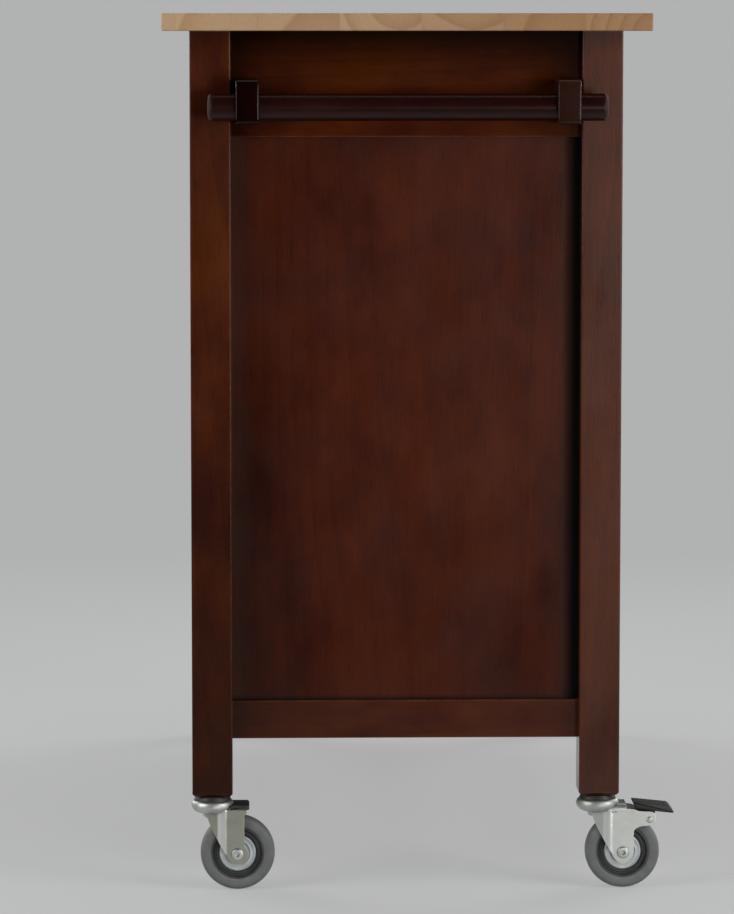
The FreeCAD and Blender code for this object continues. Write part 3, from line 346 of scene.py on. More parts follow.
# %% Edge mask group
rubbed, read, write = new_group("rubbed_edges", {"Vector": "Vector", "Reach": "Float"}, {"Mask": "Float"})
rounded = add(rubbed, "Bevel", {"Radius": read["Reach"]}, samples=4)
true_normal = add(rubbed, "NewGeometry").outputs["Normal"]
agreement = add(rubbed, "VectorMath", {0: rounded.outputs[0], 1: true_normal}, operation="DOT_PRODUCT")
off = between(rubbed, agreement.outputs["Value"], 0.995, 0.90)
patchy = between(rubbed, noise(rubbed, read["Vector"], 60.0, 4.0), 0.35, 0.65, 0.35, 1.0)
rubbed.links.new(calc(rubbed, "MULTIPLY", off, patchy), write["Mask"])

# %% [markdown]
# ## Dark stain under lacquer
# The stain takes unevenly: broad patches of the boards are warmer, others nearly black, and it gathers in the
# late wood and the pores. The lacquer over it is a thin satin film, so the height left to see is small.

# %% Stain group
stain, read, write = new_group(
    "uneven_stain",
    {"Vector": "Vector", "Rings": "Float", "Fibre": "Float", "Pores": "Float", "Edge": "Float",
     "Deep": "Color", "Warm": "Color", "Bare": "Color", "Figure": "Float", "Sheen": "Float"},
    {"Color": "Color", "Roughness": "Float", "Height": "Float"},
)
broad = noise(stain, stretched(stain, read["Vector"], (0.5, 1, 1)), 8.0, 3.0, 0.55)
cloud = noise(stain, stretched(stain, read["Vector"], (0.7, 1, 1)), 26.0, 4.0, 0.6)
taken = calc(stain, "ADD", calc(stain, "MULTIPLY", broad, 0.65), calc(stain, "MULTIPLY", cloud, 0.35))
colour = blend(stain, between(stain, taken, 0.36, 0.62), read["Deep"], read["Warm"])
marks = calc(stain, "MULTIPLY", calc(stain, "ADD", calc(stain, "MULTIPLY", read["Rings"], 0.6),
                                     calc(stain, "MULTIPLY", read["Fibre"], 0.55)), read["Figure"])
marks = calc(stain, "ADD", marks, calc(stain, "MULTIPLY", read["Pores"], read["Figure"]))
shade = between(stain, marks, 0.0, 1.0, 1.0, 0.35)
colour = blend(stain, 1.0, colour, grey(stain, shade), "MULTIPLY")
stain.links.new(blend(stain, read["Edge"], colour, read["Bare"]), write["Color"])
smear = noise(stain, stretched(stain, read["Vector"], (0.6, 1, 1)), 18.0, 3.0)
rough = calc(stain, "ADD", read["Sheen"], between(stain, smear, 0.3, 0.7, -0.05, 0.07))
stain.links.new(rough, write["Roughness"])
stain.links.new(calc(stain, "SUBTRACT", read["Fibre"], read["Pores"]), write["Height"])

# %% [markdown]
# ## One board, one cut
# Boards that share a picture look printed. Each board gets its own place in the trunk: its middle lies at a
# chosen distance from the heart, and its grain runs along its length. The random numbers are seeded.

# %% Timber materials
pick = np.random.default_rng(7)
WANDER = 0.03
EDGE_REACH = 0.0022
GRAIN_HEIGHT = 0.00025
MATT = 0.95
DARKEST = 0.02
GRAIN_TURN = {"x": (0, 0, 0), "y": (0, 0, -math.pi / 2), "z": (0, math.pi / 2, 0)}


def end_falloff(tree, node, ends):
    """A factor that falls towards the ends of a board, for painted shade, painted sheen or matt ends. ends
    lists (axis, side, reach, darkest): side is 1 for the high end, -1 for the low end and 0 for both. A
    darkest below 0 keeps a band at the end fully dark."""
    low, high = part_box(node)
    place = add(tree, "SeparateXYZ", {0: object_place(tree)}).outputs
    factor = 1.0
    for letter, side, reach, darkest in ends:
        i = "xyz".index(letter)
        off = calc(tree, "SUBTRACT", place[i], (low[i] + high[i]) / 2)
        off = calc(tree, "MULTIPLY", off, side) if side else calc(tree, "ABSOLUTE", off)
        inside = calc(tree, "SUBTRACT", (high[i] - low[i]) / 2, off)
        factor = calc(tree, "MULTIPLY", factor, between(tree, inside, 0.0, reach, darkest, 1.0))
        factor = calc(tree, "MAXIMUM", factor, DARKEST)
    return factor


def in_trunk(tree, middle, along, heart):
    """Object coordinates, turned so that the grain runs along X. The board's middle is at (random, heart)."""
    x, y, z = middle
    turned = {"x": (x, y, z), "y": (y, -x, z), "z": (z, y, -x)}[along]
    start = (pick.uniform(-40, 40), heart[0], heart[1])
    location = tuple(a - b for a, b in zip(start, turned))
    return object_place(tree, location, GRAIN_TURN[along])


# The light grey of a painted sheen, laid over lacquer where it would show a reflection.
PAINTED_SHEEN = (0.060, 0.034, 0.025, 1)


def tones(deep, warm, bare, level=1.0):
    """Three colours, each with its brightness multiplied by level."""
    return [tuple(c * level for c in colour) + (1,) for colour in (deep, warm, bare)]


def middle_of(node):
    low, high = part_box(node)
    return tuple((a + b) / 2 for a, b in zip(low, high))


def longest(node):
    low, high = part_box(node)
    spans = [high[i] - low[i] for i in range(3)]
    return "xyz"[spans.index(max(spans))]


def paint(node, material):
    """A CAD piece keeps its shape and gets a material."""
    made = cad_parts[node]
    made.data.materials.clear()
    made.data.materials.append(material)


def stained(node, board, heart, along, ring=0.004, share=0.4, sheen=0.30, level=0.13, relief=0.12, painted_shade=(),
            dust_and_painted_sheen=(), matt=(), kind="stain"):
    """Gives a node its board's finish. board holds the deep, warm and bare colours, and heart is its place in
    the trunk. share is how strongly the figure shows, sheen the roughness, level the shine and relief the
    strength of the grain's height. The last three are lists of ends: the first darkens the colour with
    painted shade, the second lays a painted sheen of light grey over it, and the third takes the shine away."""
    material, tree, shader = new_material(f"{node}_{kind}", Specular_IOR_Level=level)
    place = in_trunk(tree, middle_of(node), along, heart)
    wood = use(tree, figure, {"Vector": place, "Ring width": ring, "Wander": WANDER})
    edges = use(tree, rubbed, {"Vector": place, "Reach": EDGE_REACH})
    deep, warm, bare = board
    finish = use(tree, stain, {"Vector": place, "Rings": wood["Rings"], "Fibre": wood["Fibre"],
                               "Pores": wood["Pores"], "Edge": edges["Mask"], "Deep": deep, "Warm": warm,
                               "Bare": bare, "Figure": share, "Sheen": sheen})
    colour, rough = finish["Color"], finish["Roughness"]
    # Painted sheen: towards the chosen ends the colour is blended with a light grey.
    if dust_and_painted_sheen:
        colour = blend(tree, end_falloff(tree, node, dust_and_painted_sheen), PAINTED_SHEEN, colour)
    if matt:
        rough = add(tree, "Mix", {0: end_falloff(tree, node, matt), 2: MATT, 3: rough}).outputs[0]
    # Painted shade: towards the chosen ends the colour is darkened.
    if painted_shade:
        colour = blend(tree, 1.0, colour, grey(tree, end_falloff(tree, node, painted_shade)), "MULTIPLY")
    feed(tree, shader, colour, rough, finish["Height"], GRAIN_HEIGHT, relief)
    paint(node, material)


FRAME = ((0.030, 0.0044, 0.0016), (0.070, 0.0140, 0.0016), (0.120, 0.048, 0.021))
PANEL = ((0.028, 0.0040, 0.0015), (0.066, 0.0106, 0.0018), (0.110, 0.044, 0.019))
BLACKENED = ((0.0090, 0.0013, 0.0006), (0.016, 0.0024, 0.0010), (0.045, 0.018, 0.010))
INNER = ((0.085, 0.036, 0.017), (0.165, 0.080, 0.040), (0.24, 0.14, 0.08))


FRAME_STARTS = ("leg_", "end_upper", "end_lower", "back_upper", "back_lower", "front_", "centre_")
FRAME_BOARDS = [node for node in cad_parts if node.startswith(FRAME_STARTS)]
for node in FRAME_BOARDS:
    heart = (pick.uniform(0.03, 0.07), pick.uniform(-0.06, 0.06))
    # ends lay painted shade on a board: the legs darken towards the floor, the upper rails under the worktop
    # and, on the end, towards the legs, and the end's lower rail towards the back leg.
    along, ends, shine, light = longest(node), [], 0.11, 1.0
    if node.startswith("leg_front"):
        ends, shine, light = [("z", -1, 0.40, 0.90)], 0.20, 0.88
    elif node.startswith("leg_back"):
        ends, shine, light = [("z", -1, 0.40, 0.36)], 0.11, 0.94
    elif node.startswith("end_upper"):
        ends, shine, light = [(along, 0, 0.08, 0.42), ("z", 1, 0.11, 0.10)], 0.03, 1.55
    elif node.startswith("back_upper"):
        ends, shine = [("z", 1, 0.11, 0.45)], 0.08
    elif node.startswith("end_lower"):
        ends, shine = [("y", 1, 0.20, 0.55)], 0.13
    stained(node, tones(*FRAME, light), heart, along, level=shine, relief=0.07, painted_shade=ends)
for side in ("left", "right"):
    stained(f"drawer_{side}_front", tones(*FRAME), (0.02, 0.10), "x", 0.005)
    stained(f"door_{side}_frame", tones(*FRAME), (0.05, 0.04), "z")
for node in ("end_panel_left", "end_panel_right", "back_panel", "door_left_panel", "door_right_panel"):
    # Painted shade on the panels: darker towards the back edge of an end panel or both sides of the others,
    # and towards the bottom. A narrow, nearly black painted shadow runs along the frame at the front edge of
    # an end panel or both sides of the others, and it is left matt; another runs above the lower rail. An end
    # panel also takes a painted sheen along its back edge.
    if node.startswith("end"):
        heart, ends, dust_and_painted_sheen = (0.05, 0.16), [("y", 1, 0.12, 0.74)], [("y", 1, 0.030, 0.62)]
        corner = [("y", -1, 0.026, -0.90)]
    else:
        heart, ends, dust_and_painted_sheen, corner = (0.16, 0.05), [("x", 0, 0.05, 0.70)], (), [("x", 0, 0.011, -0.60)]
    ends += corner + [("z", -1, 0.60, 0.71), ("z", -1, 0.0115, -0.90)]
    stained(node, tones(*PANEL), heart, "z", 0.006, 0.35, 0.29, 0.12, 0.07, ends, dust_and_painted_sheen, corner)
print(len(FRAME_BOARDS), "frame boards stained")

# %% [markdown]
# ## Inside wood
# Shelf, floor, runners and drawer boxes are the same timber with only a thin coat of stain, left matt.

# %% Inside wood
for node, along in (("cabinet_floor", "x"), ("shelf", "x"), ("drawer_runners", "y"), ("drawer_left_box", "y"),
                    ("drawer_right_box", "y")):
    stained(node, tones(*INNER), (0.04, 0.07), along, 0.005, 0.5, 0.6, relief=0.3, kind="wood")

# %% [markdown]
# ## The worktop
# Staves of pale hardwood are glued edge to edge and end to end, then sanded and oiled. Each stave comes from
# another tree, so its tone and its rings change abruptly at the glue line. A stave's number comes from its
# place across the top, and its joint from its place along it. The number then picks its tone and its heart.
# The tone runs from pale at the back of the cart to tan at its front.

# %% Stave group
staves, read, write = new_group(
    "glued_staves",
    {"Vector": "Vector", "Stave width": "Float", "Stave length": "Float"},
    {"Moved": "Vector", "Tone": "Float", "Tint": "Float", "Joint": "Float"},
)
along, over, up = add(staves, "SeparateXYZ", {0: read["Vector"]}).outputs
strip = calc(staves, "DIVIDE", over, read["Stave width"])
strip_number = calc(staves, "FLOOR", strip)
shift = add(staves, "TexWhiteNoise", {"W": strip_number}, noise_dimensions="1D").outputs["Value"]
run = calc(staves, "DIVIDE", along, read["Stave length"])
run = calc(staves, "ADD", run, calc(staves, "MULTIPLY", shift, 7.0))
run_number = calc(staves, "FLOOR", run)
label = add(staves, "CombineXYZ", {0: strip_number, 1: run_number}).outputs[0]
lot = add(staves, "TexWhiteNoise", {"Vector": label}, noise_dimensions="3D")
draw = add(staves, "SeparateXYZ", {0: lot.outputs["Color"]}).outputs
centre = calc(staves, "MULTIPLY", calc(staves, "ADD", strip_number, 0.5), read["Stave width"])
off_centre = calc(staves, "SUBTRACT", over, centre)
own = add(staves, "CombineXYZ", {
    0: calc(staves, "ADD", along, calc(staves, "MULTIPLY", draw[0], 30.0)),
    1: calc(staves, "ADD", off_centre, between(staves, draw[1], 0.0, 1.0, -0.035, 0.035)),
    2: calc(staves, "ADD", up, between(staves, draw[2], 0.0, 1.0, -0.97, -0.87)),
}).outputs[0]
staves.links.new(own, write["Moved"])
staves.links.new(lot.outputs["Value"], write["Tone"])
staves.links.new(draw[0], write["Tint"])
seam = [between(staves, calc(staves, "PINGPONG", place, 0.5), 0.0, reach, 1.0, 0.0)
        for place, reach in ((strip, 0.008), (run, 0.0009))]
staves.links.new(calc(staves, "MAXIMUM", *seam), write["Joint"])

# %% Worktop material
STAVE_WIDTH, STAVE_LENGTH = 0.0837, 0.52
TOP_RING, TOP_WANDER = 0.0135, 0.034
TONE_SPREAD = 0.18
PALE = (0.395, 0.276, 0.161, 1)
TAN = (0.215, 0.105, 0.035, 1)
LATE_WOOD = (0.72, 0.58, 0.43, 1)
FIBRE_TINT = (0.90, 0.86, 0.80, 1)
GLUE_LINE = (0.12, 0.06, 0.03, 1)
RINGS_SHOW, FIBRE_SHOWS, PORES_SHOW, GLUE_SHOWS, EDGES_SHOW = 0.75, 0.5, 0.35, 0.16, 0.25

material, tree, shader = new_material("oiled_staves", Specular_IOR_Level=0.3)
low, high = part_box("worktop")
place = object_place(tree)
stave = use(tree, staves, {"Vector": place, "Stave width": STAVE_WIDTH, "Stave length": STAVE_LENGTH})
wood = use(tree, figure, {"Vector": stave["Moved"], "Ring width": TOP_RING, "Wander": TOP_WANDER})
edges = use(tree, rubbed, {"Vector": place, "Reach": 0.002})
tone_back_to_front = between(tree, add(tree, "SeparateXYZ", {0: place}).outputs[1], high.y, low.y)
tone = calc(tree, "ADD", tone_back_to_front, between(tree, stave["Tone"], 0.0, 1.0, -TONE_SPREAD, TONE_SPREAD))
tone = blend(tree, between(tree, tone, 0.0, 1.0), PALE, TAN)
tone = multiplied(tree, calc(tree, "MULTIPLY", wood["Rings"], RINGS_SHOW), tone, LATE_WOOD)
tone = multiplied(tree, calc(tree, "MULTIPLY", wood["Fibre"], FIBRE_SHOWS), tone, FIBRE_TINT)
tone = blend(tree, calc(tree, "MULTIPLY", wood["Pores"], PORES_SHOW), tone, TAN)
tone = blend(tree, calc(tree, "MULTIPLY", stave["Joint"], GLUE_SHOWS), tone, GLUE_LINE)
tone = blend(tree, calc(tree, "MULTIPLY", edges["Mask"], EDGES_SHOW), tone, PALE)
rough = between(tree, wood["Fibre"], 0.0, 1.0, 0.46, 0.60)
height = calc(tree, "SUBTRACT", wood["Fibre"], calc(tree, "MULTIPLY", stave["Joint"], 2.0))
feed(tree, shader, tone, rough, height, 0.0002, 0.35)
paint("worktop", material)
print("worktop", [round(b - a, 3) for a, b in zip(low, high)], "m")

# %% [markdown]
# ## Metal, rubber and plastic
# The casters are pressed steel with bright zinc plate, which is never quite even: it clouds and yellows. The
# tyres are grey rubber, dulled by floors. The wheel cores and the pedals are black plastic with a fine skin.

# %% Small finishes
def zinc(name, base, clouded, low_rough, high_rough, bright=None):
    """Zinc plate. Where a sheet is marked along its fold, its colour is blended to the bright colour: a
    painted highlight.
    """
    material, tree, shader = new_material(name, Metallic=1.0)
    place = object_place(tree)
    cloudy = noise(tree, place, 55.0, 4.0, 0.6)
    drawn = noise(tree, stretched(tree, place, (1, 1, 0.12)), 900.0, 2.0)
    colour = blend(tree, between(tree, cloudy, 0.35, 0.65), base, clouded)
    # Painted highlight: the marked fold is blended to the bright colour.
    if bright:
        colour = blend(tree, add(tree, "Attribute", attribute_name="bend").outputs["Fac"], colour, bright)
    rough = calc(tree, "ADD", between(tree, cloudy, 0.3, 0.7, low_rough, high_rough),
                 between(tree, drawn, 0.3, 0.7, -0.04, 0.04))
    feed(tree, shader, colour, rough, drawn, 0.00005, 0.25)
    return material


def moulded(name, base, worn, rough, grain, speck=1400.0):
    material, tree, shader = new_material(name, Specular_IOR_Level=0.4)
    place = object_place(tree)
    skin = noise(tree, place, speck, 2.0)
    dust_and_painted_sheen = noise(tree, place, 90.0, 4.0, 0.6)
    colour = blend(tree, between(tree, dust_and_painted_sheen, 0.4, 0.75), base, worn)
    feed(tree, shader, colour, between(tree, dust_and_painted_sheen, 0.3, 0.7, rough, rough + 0.12), skin, 0.00008, grain)
    return material


plated = zinc("zinc_plate", (0.40, 0.407, 0.393, 1), (0.34, 0.346, 0.328, 1), 0.32, 0.44,
              (0.52, 0.53, 0.52, 1))
olive_plated = zinc("olive_zinc_plate", (0.26, 0.26, 0.217, 1), (0.21, 0.21, 0.172, 1), 0.34, 0.46,
                    (0.50, 0.51, 0.49, 1))
crown_plate = zinc("crown_zinc", (0.36, 0.37, 0.355, 1), (0.27, 0.28, 0.26, 1), 0.44, 0.56)
hinge_steel = zinc("hinge_steel", (0.62, 0.60, 0.56, 1), (0.48, 0.46, 0.42, 1), 0.26, 0.38)
hub_plate = zinc("hub_plate", (0.37, 0.395, 0.395, 1), (0.32, 0.345, 0.34, 1), 0.56, 0.66)
# A near-black zinc for the race ring: painted shade under the leg and a painted reflection of it.
race_painted_shade = zinc("race_painted_shade", (0.050, 0.048, 0.044, 1), (0.034, 0.032, 0.029, 1), 0.50, 0.62)
rubber = moulded("grey_rubber", (0.088, 0.092, 0.089, 1), (0.118, 0.122, 0.118, 1), 0.62, 0.4, 700.0)
core_black = moulded("core_black", (0.014, 0.015, 0.014, 1), (0.030, 0.031, 0.029, 1), 0.38, 0.2)
pedal_black = moulded("pedal_black", (0.008, 0.008, 0.008, 1), (0.014, 0.014, 0.013, 1), 0.50, 0.3, 900.0)
catch_brown = moulded("catch_plastic", (0.030, 0.018, 0.012, 1), (0.045, 0.030, 0.022, 1), 0.45, 0.2)
for node in ("shelf_pins", "frame_fixings", "hinge_frame_leaves", "door_left_fittings",
             "door_right_fittings"):
    paint(node, hinge_steel)
paint("door_catches", catch_brown)
BY_ENDING = {"_fork": plated, "_axle": plated, "_stems": plated, "_tyre": rubber, "_core": core_black,
             "_lever": pedal_black}
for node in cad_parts:
    for ending, material in BY_ENDING.items():
        if node.endswith(ending):
            paint(node, material)

# %% [markdown]
# ## Blackened bar, blocks and knobs
# These small turned and sawn pieces took the stain twice and are nearly black. The bar's ends are rubbed matt
# and carry a painted sheen. The lacquer on its blocks is glossier: the back one mirrors the dark room and is
# darkened further with painted shade, the front one is lightened with a painted sheen.

# %% Blackened pieces
# The bar's ends and the front block take a painted sheen, the back block painted shade.
BLACK_ENDS = {
    "towel_bar": {"sheen": 0.28, "level": 0.16, "dust_and_painted_sheen": [("y", 0, 0.005, 0.5)], "matt": [("y", 0, 0.006, 0)]},
    "towel_bar_blocks": {"sheen": 0.11, "level": 0.10, "painted_shade": [("y", 1, 0.06, 0.30)],
                         "dust_and_painted_sheen": [("y", -1, 0.05, 0.82)]},
}
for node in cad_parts:
    if node.endswith("_knob") or node in BLACK_ENDS:
        looks = BLACK_ENDS.get(node, {"sheen": 0.24, "level": 0.09})
        stained(node, tones(*BLACKENED), (0.02, 0.03), longest(node), 0.003, 0.3, relief=0.02, **looks)

# %% [markdown]
# ## Towel bar and its blocks
# The bar is a dowel with softly domed ends, turned on a lathe, so its surface is one profile swept round its
# axis. Each block is a cut of square stock with a round brow, a chamfered chin and sanded edges: an outline
# in side view, given the block's width, with its rims rounded.


# %% Towel bar
def low_high(node):
    """A CAD piece's box in millimetres."""
    return [np.array(corner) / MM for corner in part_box(node)]


def millimetres(part):
    points, faces = part
    return points * MM, faces


black_stain = [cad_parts[n].data.materials[0] for n in ("towel_bar", "towel_bar_blocks")]
low, high = low_high("towel_bar")
radius, length = (high[2] - low[2]) / 2, high[1] - low[1]
end_profile = [(0, 0), (radius * 0.60, 0.3), (radius * 0.86, 1.0), (radius, 3.4)]
other_end = [(r, length - h) for r, h in reversed(end_profile)]
profile = softened(end_profile + other_end, 2.2, 7)
bar_middle = ((low[0] + high[0]) / 2, low[1], (low[2] + high[2]) / 2)
bar = turned_to(lathe(profile, 96), "xzy", bar_middle)
piece("bar_dowel", [millimetres(bar)], black_stain[0], "cart", ["towel_bar"])

low, high = low_high("towel_bar_blocks")
BLOCK_WIDTH = 23.5
front, back, chin, brow = low[0], high[0], low[2], high[2]
corners = [(back, chin), (front + 3, chin), (front, chin + 3), (front, brow - 6), (front + 2, brow - 2),
           (front + 6, brow), (back, brow)]
outline = softened(corners, 3.0, 6, closed=True)
blocks = []
for middle in (low[1] + BLOCK_WIDTH / 2, high[1] - BLOCK_WIDTH / 2):
    blocks.append(millimetres(turned_to(slab(outline, BLOCK_WIDTH, 1.5, 5), "xzy", (0, middle, 0))))
piece("bar_blocks", blocks, black_stain[1], "cart", ["towel_bar_blocks"])
print("bar", round(length), "mm long, radius", round(radius, 1))

# %% [markdown]
# ## Knobs
# A turned knob: a small foot, a waist that flows into the head, and a face that is slightly domed. A screw
# from behind the front holds it, and its pan head shows inside the drawer or the door.

# %% Knobs
KNOB = softened([(0, 27.0), (8.5, 26.6), (13.0, 24.6), (15.0, 20.5), (14.0, 16.0), (9.5, 12.6), (6.0, 9.5),
                 (5.7, 6.2), (7.4, 4.2), (9.0, 3.2), (9.0, 0.4), (8.6, 0), (0, 0)], 2.4, 6)
SCREW_HEAD = softened([(0, -22.0), (2.6, -21.8), (4.0, -20.6), (4.0, -20.0), (0, -20.0)], 0.5, 4)
for node in [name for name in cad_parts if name.endswith("_knob")]:
    low, high = low_high(node)
    face = low[1] + 27
    foot = ((low[0] + high[0]) / 2, face, (low[2] + high[2]) / 2)
    body = node.removesuffix("_knob")
    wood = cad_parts[node].data.materials[0]
    for label, profile, finish, role in (("wood", KNOB, wood, "bar_wood"),
                                         ("screw", SCREW_HEAD, hinge_steel, "plated_steel")):
        points, faces = lathe(profile, 64)
        made = points[:, [0, 2, 1]] * [1, -1, 1] + foot, faces
        piece(f"{node}_{label}", [millimetres(made)], finish, body, [node])

# %% [markdown]
# ## Casters
# All caster pieces share one frame: the swivel axis is upright through the origin and the wheel trails to -Y.
# Heights and reaches are in millimetres and match the CAD model, which holds the joints.

# %% Caster frame
TRAIL, AXLE = 26.0, 39.0
CORNERS = {}
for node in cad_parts:
    if node.endswith("_fork"):
        corner = node.removeprefix("caster_").removesuffix("_fork")
        leg_low, leg_high = low_high(f"leg_{corner}")
        middle = (leg_low + leg_high) / 2
        CORNERS[corner] = np.array([middle[0], middle[1], 0.0])


def at_caster(part, corner, place=(0, 0, 0)):
    """A part in caster millimetres, moved by place and to its corner, in metres."""
    points, faces = part
    return (points + place + CORNERS[corner]) * MM, faces


def about_axle(profile, sides=96):
    """A profile of (radius, sideways) turned about the wheel's axle."""
    points, faces = lathe(profile, sides)
    return points[:, [2, 0, 1]] + [0, -TRAIL, AXLE], faces


# %% [markdown]
# ## Wheels
# A soft grey tyre with a rounded tread is moulded over a black core. The core is stepped: a rim, a sunken web
# and a bright pressed cover each side whose rings are beads rolled into the sheet.

# %% Tyres and cores
def mirrored(half):
    """A profile for one side, outer edge first, and its mirror image."""
    return half + [(r, -x) for r, x in reversed(half)]


TYRE = softened(mirrored([(27.3, 10.2), (28.2, 11.4), (30.0, 11.9), (34.0, 12.0), (36.6, 11.2), (38.4, 8.6),
                          (39.0, 4.0)]), 1.8, 6)
CORE = softened(mirrored([(4.3, 14.5), (6.6, 14.5), (7.0, 14.1), (7.0, 7.4), (19.0, 7.0), (20.2, 7.1),
                          (21.0, 7.9), (22.2, 8.0), (23.0, 7.2), (24.2, 7.3), (25.2, 9.6), (25.6, 10.5),
                          (27.0, 10.5), (27.5, 10.0)]), 0.5, 4)
COVER = [(7.1, 8.2), (7.1, 9.2), (8.4, 9.4), (10.2, 9.1), (12.2, 9.05), (13.0, 9.35), (13.8, 9.35),
         (14.6, 9.05), (16.8, 9.0), (17.8, 9.3), (18.7, 8.9), (19.2, 8.0), (19.2, 7.1)]
for corner in CORNERS:
    wheel = f"wheel_{corner}"
    tyre_node, core_node = f"caster_{corner}_tyre", f"caster_{corner}_core"
    parts = [(f"tyre_{corner}", TYRE, rubber, "grey_rubber", tyre_node),
             (f"core_{corner}", CORE, core_black, "dark_plastic", core_node)]
    for number, side in enumerate((-1, 1)):
        cover = softened([(r, side * x) for r, x in COVER], 0.7, 5)
        parts.append((f"hub_cover_{corner}_{number}", cover, hub_plate, "plated_steel", core_node))
    for name, profile, finish, role, node in parts:
        piece(name, [at_caster(about_axle(profile), corner)], finish, wheel, [node], closed=False)
print(len(CORNERS), "wheels")

# %% [markdown]
# ## Forks
# A fork is one sheet of steel pressed into an arch: up one side of the wheel, across the top and down the
# other. Its front is folded inwards along a pressed rib, which stiffens it, and flares up to the crown. The
# surface below is the middle of the sheet: a row runs across the arch, and each row has its own front and
# back edge. Solidify then gives the sheet. The rib is a curve that goes over into a straight slope.

# %% Fork sheets
SHEET = 2.2
ARCH_HALF = 16.1
ARCH_TOP = 89.3
ARCH_ROUND = 5.0
END_RADIUS = 11.0
FOLD_START = -13.4
FOLD_ROUND = 13.0
FOLD_SLOPE = 0.42
RIB_STEP = 0.35
FRONT_TANGENT = math.radians(31)
COLUMNS = 65


def edge_line(corners, heights, radius, steps=9):
    """The reach of an edge at the given heights, from a line through rounded corners (height, reach)."""
    line = softened(corners, radius, steps)
    return np.interp(heights, line[:, 0], line[:, 1])


def fork_heights():
    """Rows up one side: close together round the axle end and near the ears, where the edges turn fast."""
    turn = np.linspace(-math.pi / 2, math.pi / 2, 25)
    low_end = AXLE + END_RADIUS * np.sin(turn)
    return np.concatenate([low_end, np.linspace(AXLE + END_RADIUS, ARCH_TOP - ARCH_ROUND, 61)[1:]])


def fork_sheet(brake):
    """The arch as one grid, with the fold and the rib pressed in. A brake fork has ears for the lever."""
    heights = fork_heights()
    ring = np.sqrt(np.maximum(END_RADIUS ** 2 - (heights - AXLE) ** 2, 0))
    tangent = AXLE - END_RADIUS * math.sin(FRONT_TANGENT)
    start = (tangent, -TRAIL + END_RADIUS * math.cos(FRONT_TANGENT))
    front_line = edge_line([start, (67.0, 1.8), (77.0, 5.0), (81.5, 9.6), (84.6, 16.5), (ARCH_TOP, 16.5)],
                           heights, 5.0)
    front = np.where(heights < tangent, -TRAIL + ring, front_line)
    if brake:
        back_line = edge_line([(AXLE, -37.0), (62.0, -37.0), (65.0, -40.5), (67.0, -46.0), (67.4, -56.0),
                               (70.5, -60.0), (79.0, -60.0), (82.2, -56.0), (82.6, -42.0), (84.5, -37.5),
                               (ARCH_TOP, -31.0)], heights, 2.6)
    else:
        back_line = edge_line([(AXLE, -33.0), (80.0, -33.0), (82.5, -36.0), (ARCH_TOP, -36.3)], heights, 3.0)
    back = np.where(heights < AXLE, -TRAIL - ring, np.minimum(back_line, -TRAIL - ring))
    turn = np.linspace(0, math.pi / 2, 7)[1:]
    side = np.concatenate([np.full(len(heights), ARCH_HALF),
                           ARCH_HALF - ARCH_ROUND + ARCH_ROUND * np.cos(turn),
                           np.linspace(ARCH_HALF - ARCH_ROUND, 0, 6)[1:]])
    rise = np.concatenate([heights, ARCH_TOP - ARCH_ROUND + ARCH_ROUND * np.sin(turn), np.full(5, ARCH_TOP)])
    extra = len(rise) - len(heights)
    front = np.concatenate([front, np.full(extra, front[-1])])
    back = np.concatenate([back, np.full(extra, -29.0 if brake else -36.3)])
    along = np.linspace(0, 1, COLUMNS)[None]
    reach = front[:, None] + (back - front)[:, None] * along
    past_fold = np.maximum(reach - FOLD_START, 0)
    curled = np.minimum(past_fold, FOLD_SLOPE * FOLD_ROUND)
    drop = curled ** 2 / (2 * FOLD_ROUND) + FOLD_SLOPE * (past_fold - curled)
    drop += RIB_STEP * np.clip((FOLD_START - reach) / 0.9, 0, 1)
    x = side[:, None] * (1 - drop / ARCH_HALF)
    half = np.stack([x, reach, np.broadcast_to(rise[:, None], x.shape)], -1)
    other = half[-2::-1] * [-1, 1, 1]
    return grid(np.concatenate([half, other]))


def mark_bend(made, corner):
    """A point attribute for the painted highlight: 1 over the fold beside the rib, falling to 0 within two
    millimetres at its sides.
    """
    points = np.empty(len(made.data.vertices) * 3)
    made.data.vertices.foreach_get("co", points)
    reach = points[1::3] / MM - CORNERS[corner][1]
    share = np.clip((reach - FOLD_START) / 0.8, 0, 1) * np.clip((FOLD_START + 8.6 - reach) / 1.6, 0, 1)
    made.data.attributes.new("bend", "FLOAT", "POINT").data.foreach_set("value", share)


def thickened(made, thickness, ease):
    """Solidify to both sides of the surface, then a small bevel of the sheet's edges."""
    solid = made.modifiers.new("sheet", "SOLIDIFY")
    solid.thickness, solid.offset, solid.use_even_offset = thickness * MM, 0, True
    bevel = made.modifiers.new("ease", "BEVEL")
    bevel.width, bevel.segments = ease * MM, 2
    bevel.limit_method, bevel.angle_limit = "ANGLE", math.radians(50)


# %% [markdown]
# ## Crown, race ring and axle
# On the arch sits the swivel: a bowl pressed in sheet, with a conical ring over the balls, close under the
# leg. The ring's zinc is painted near black: painted shade under the leg and a painted reflection of it.
# Through the fork's lower ends goes the axle bolt, with a punched mark in its head, and its nut.

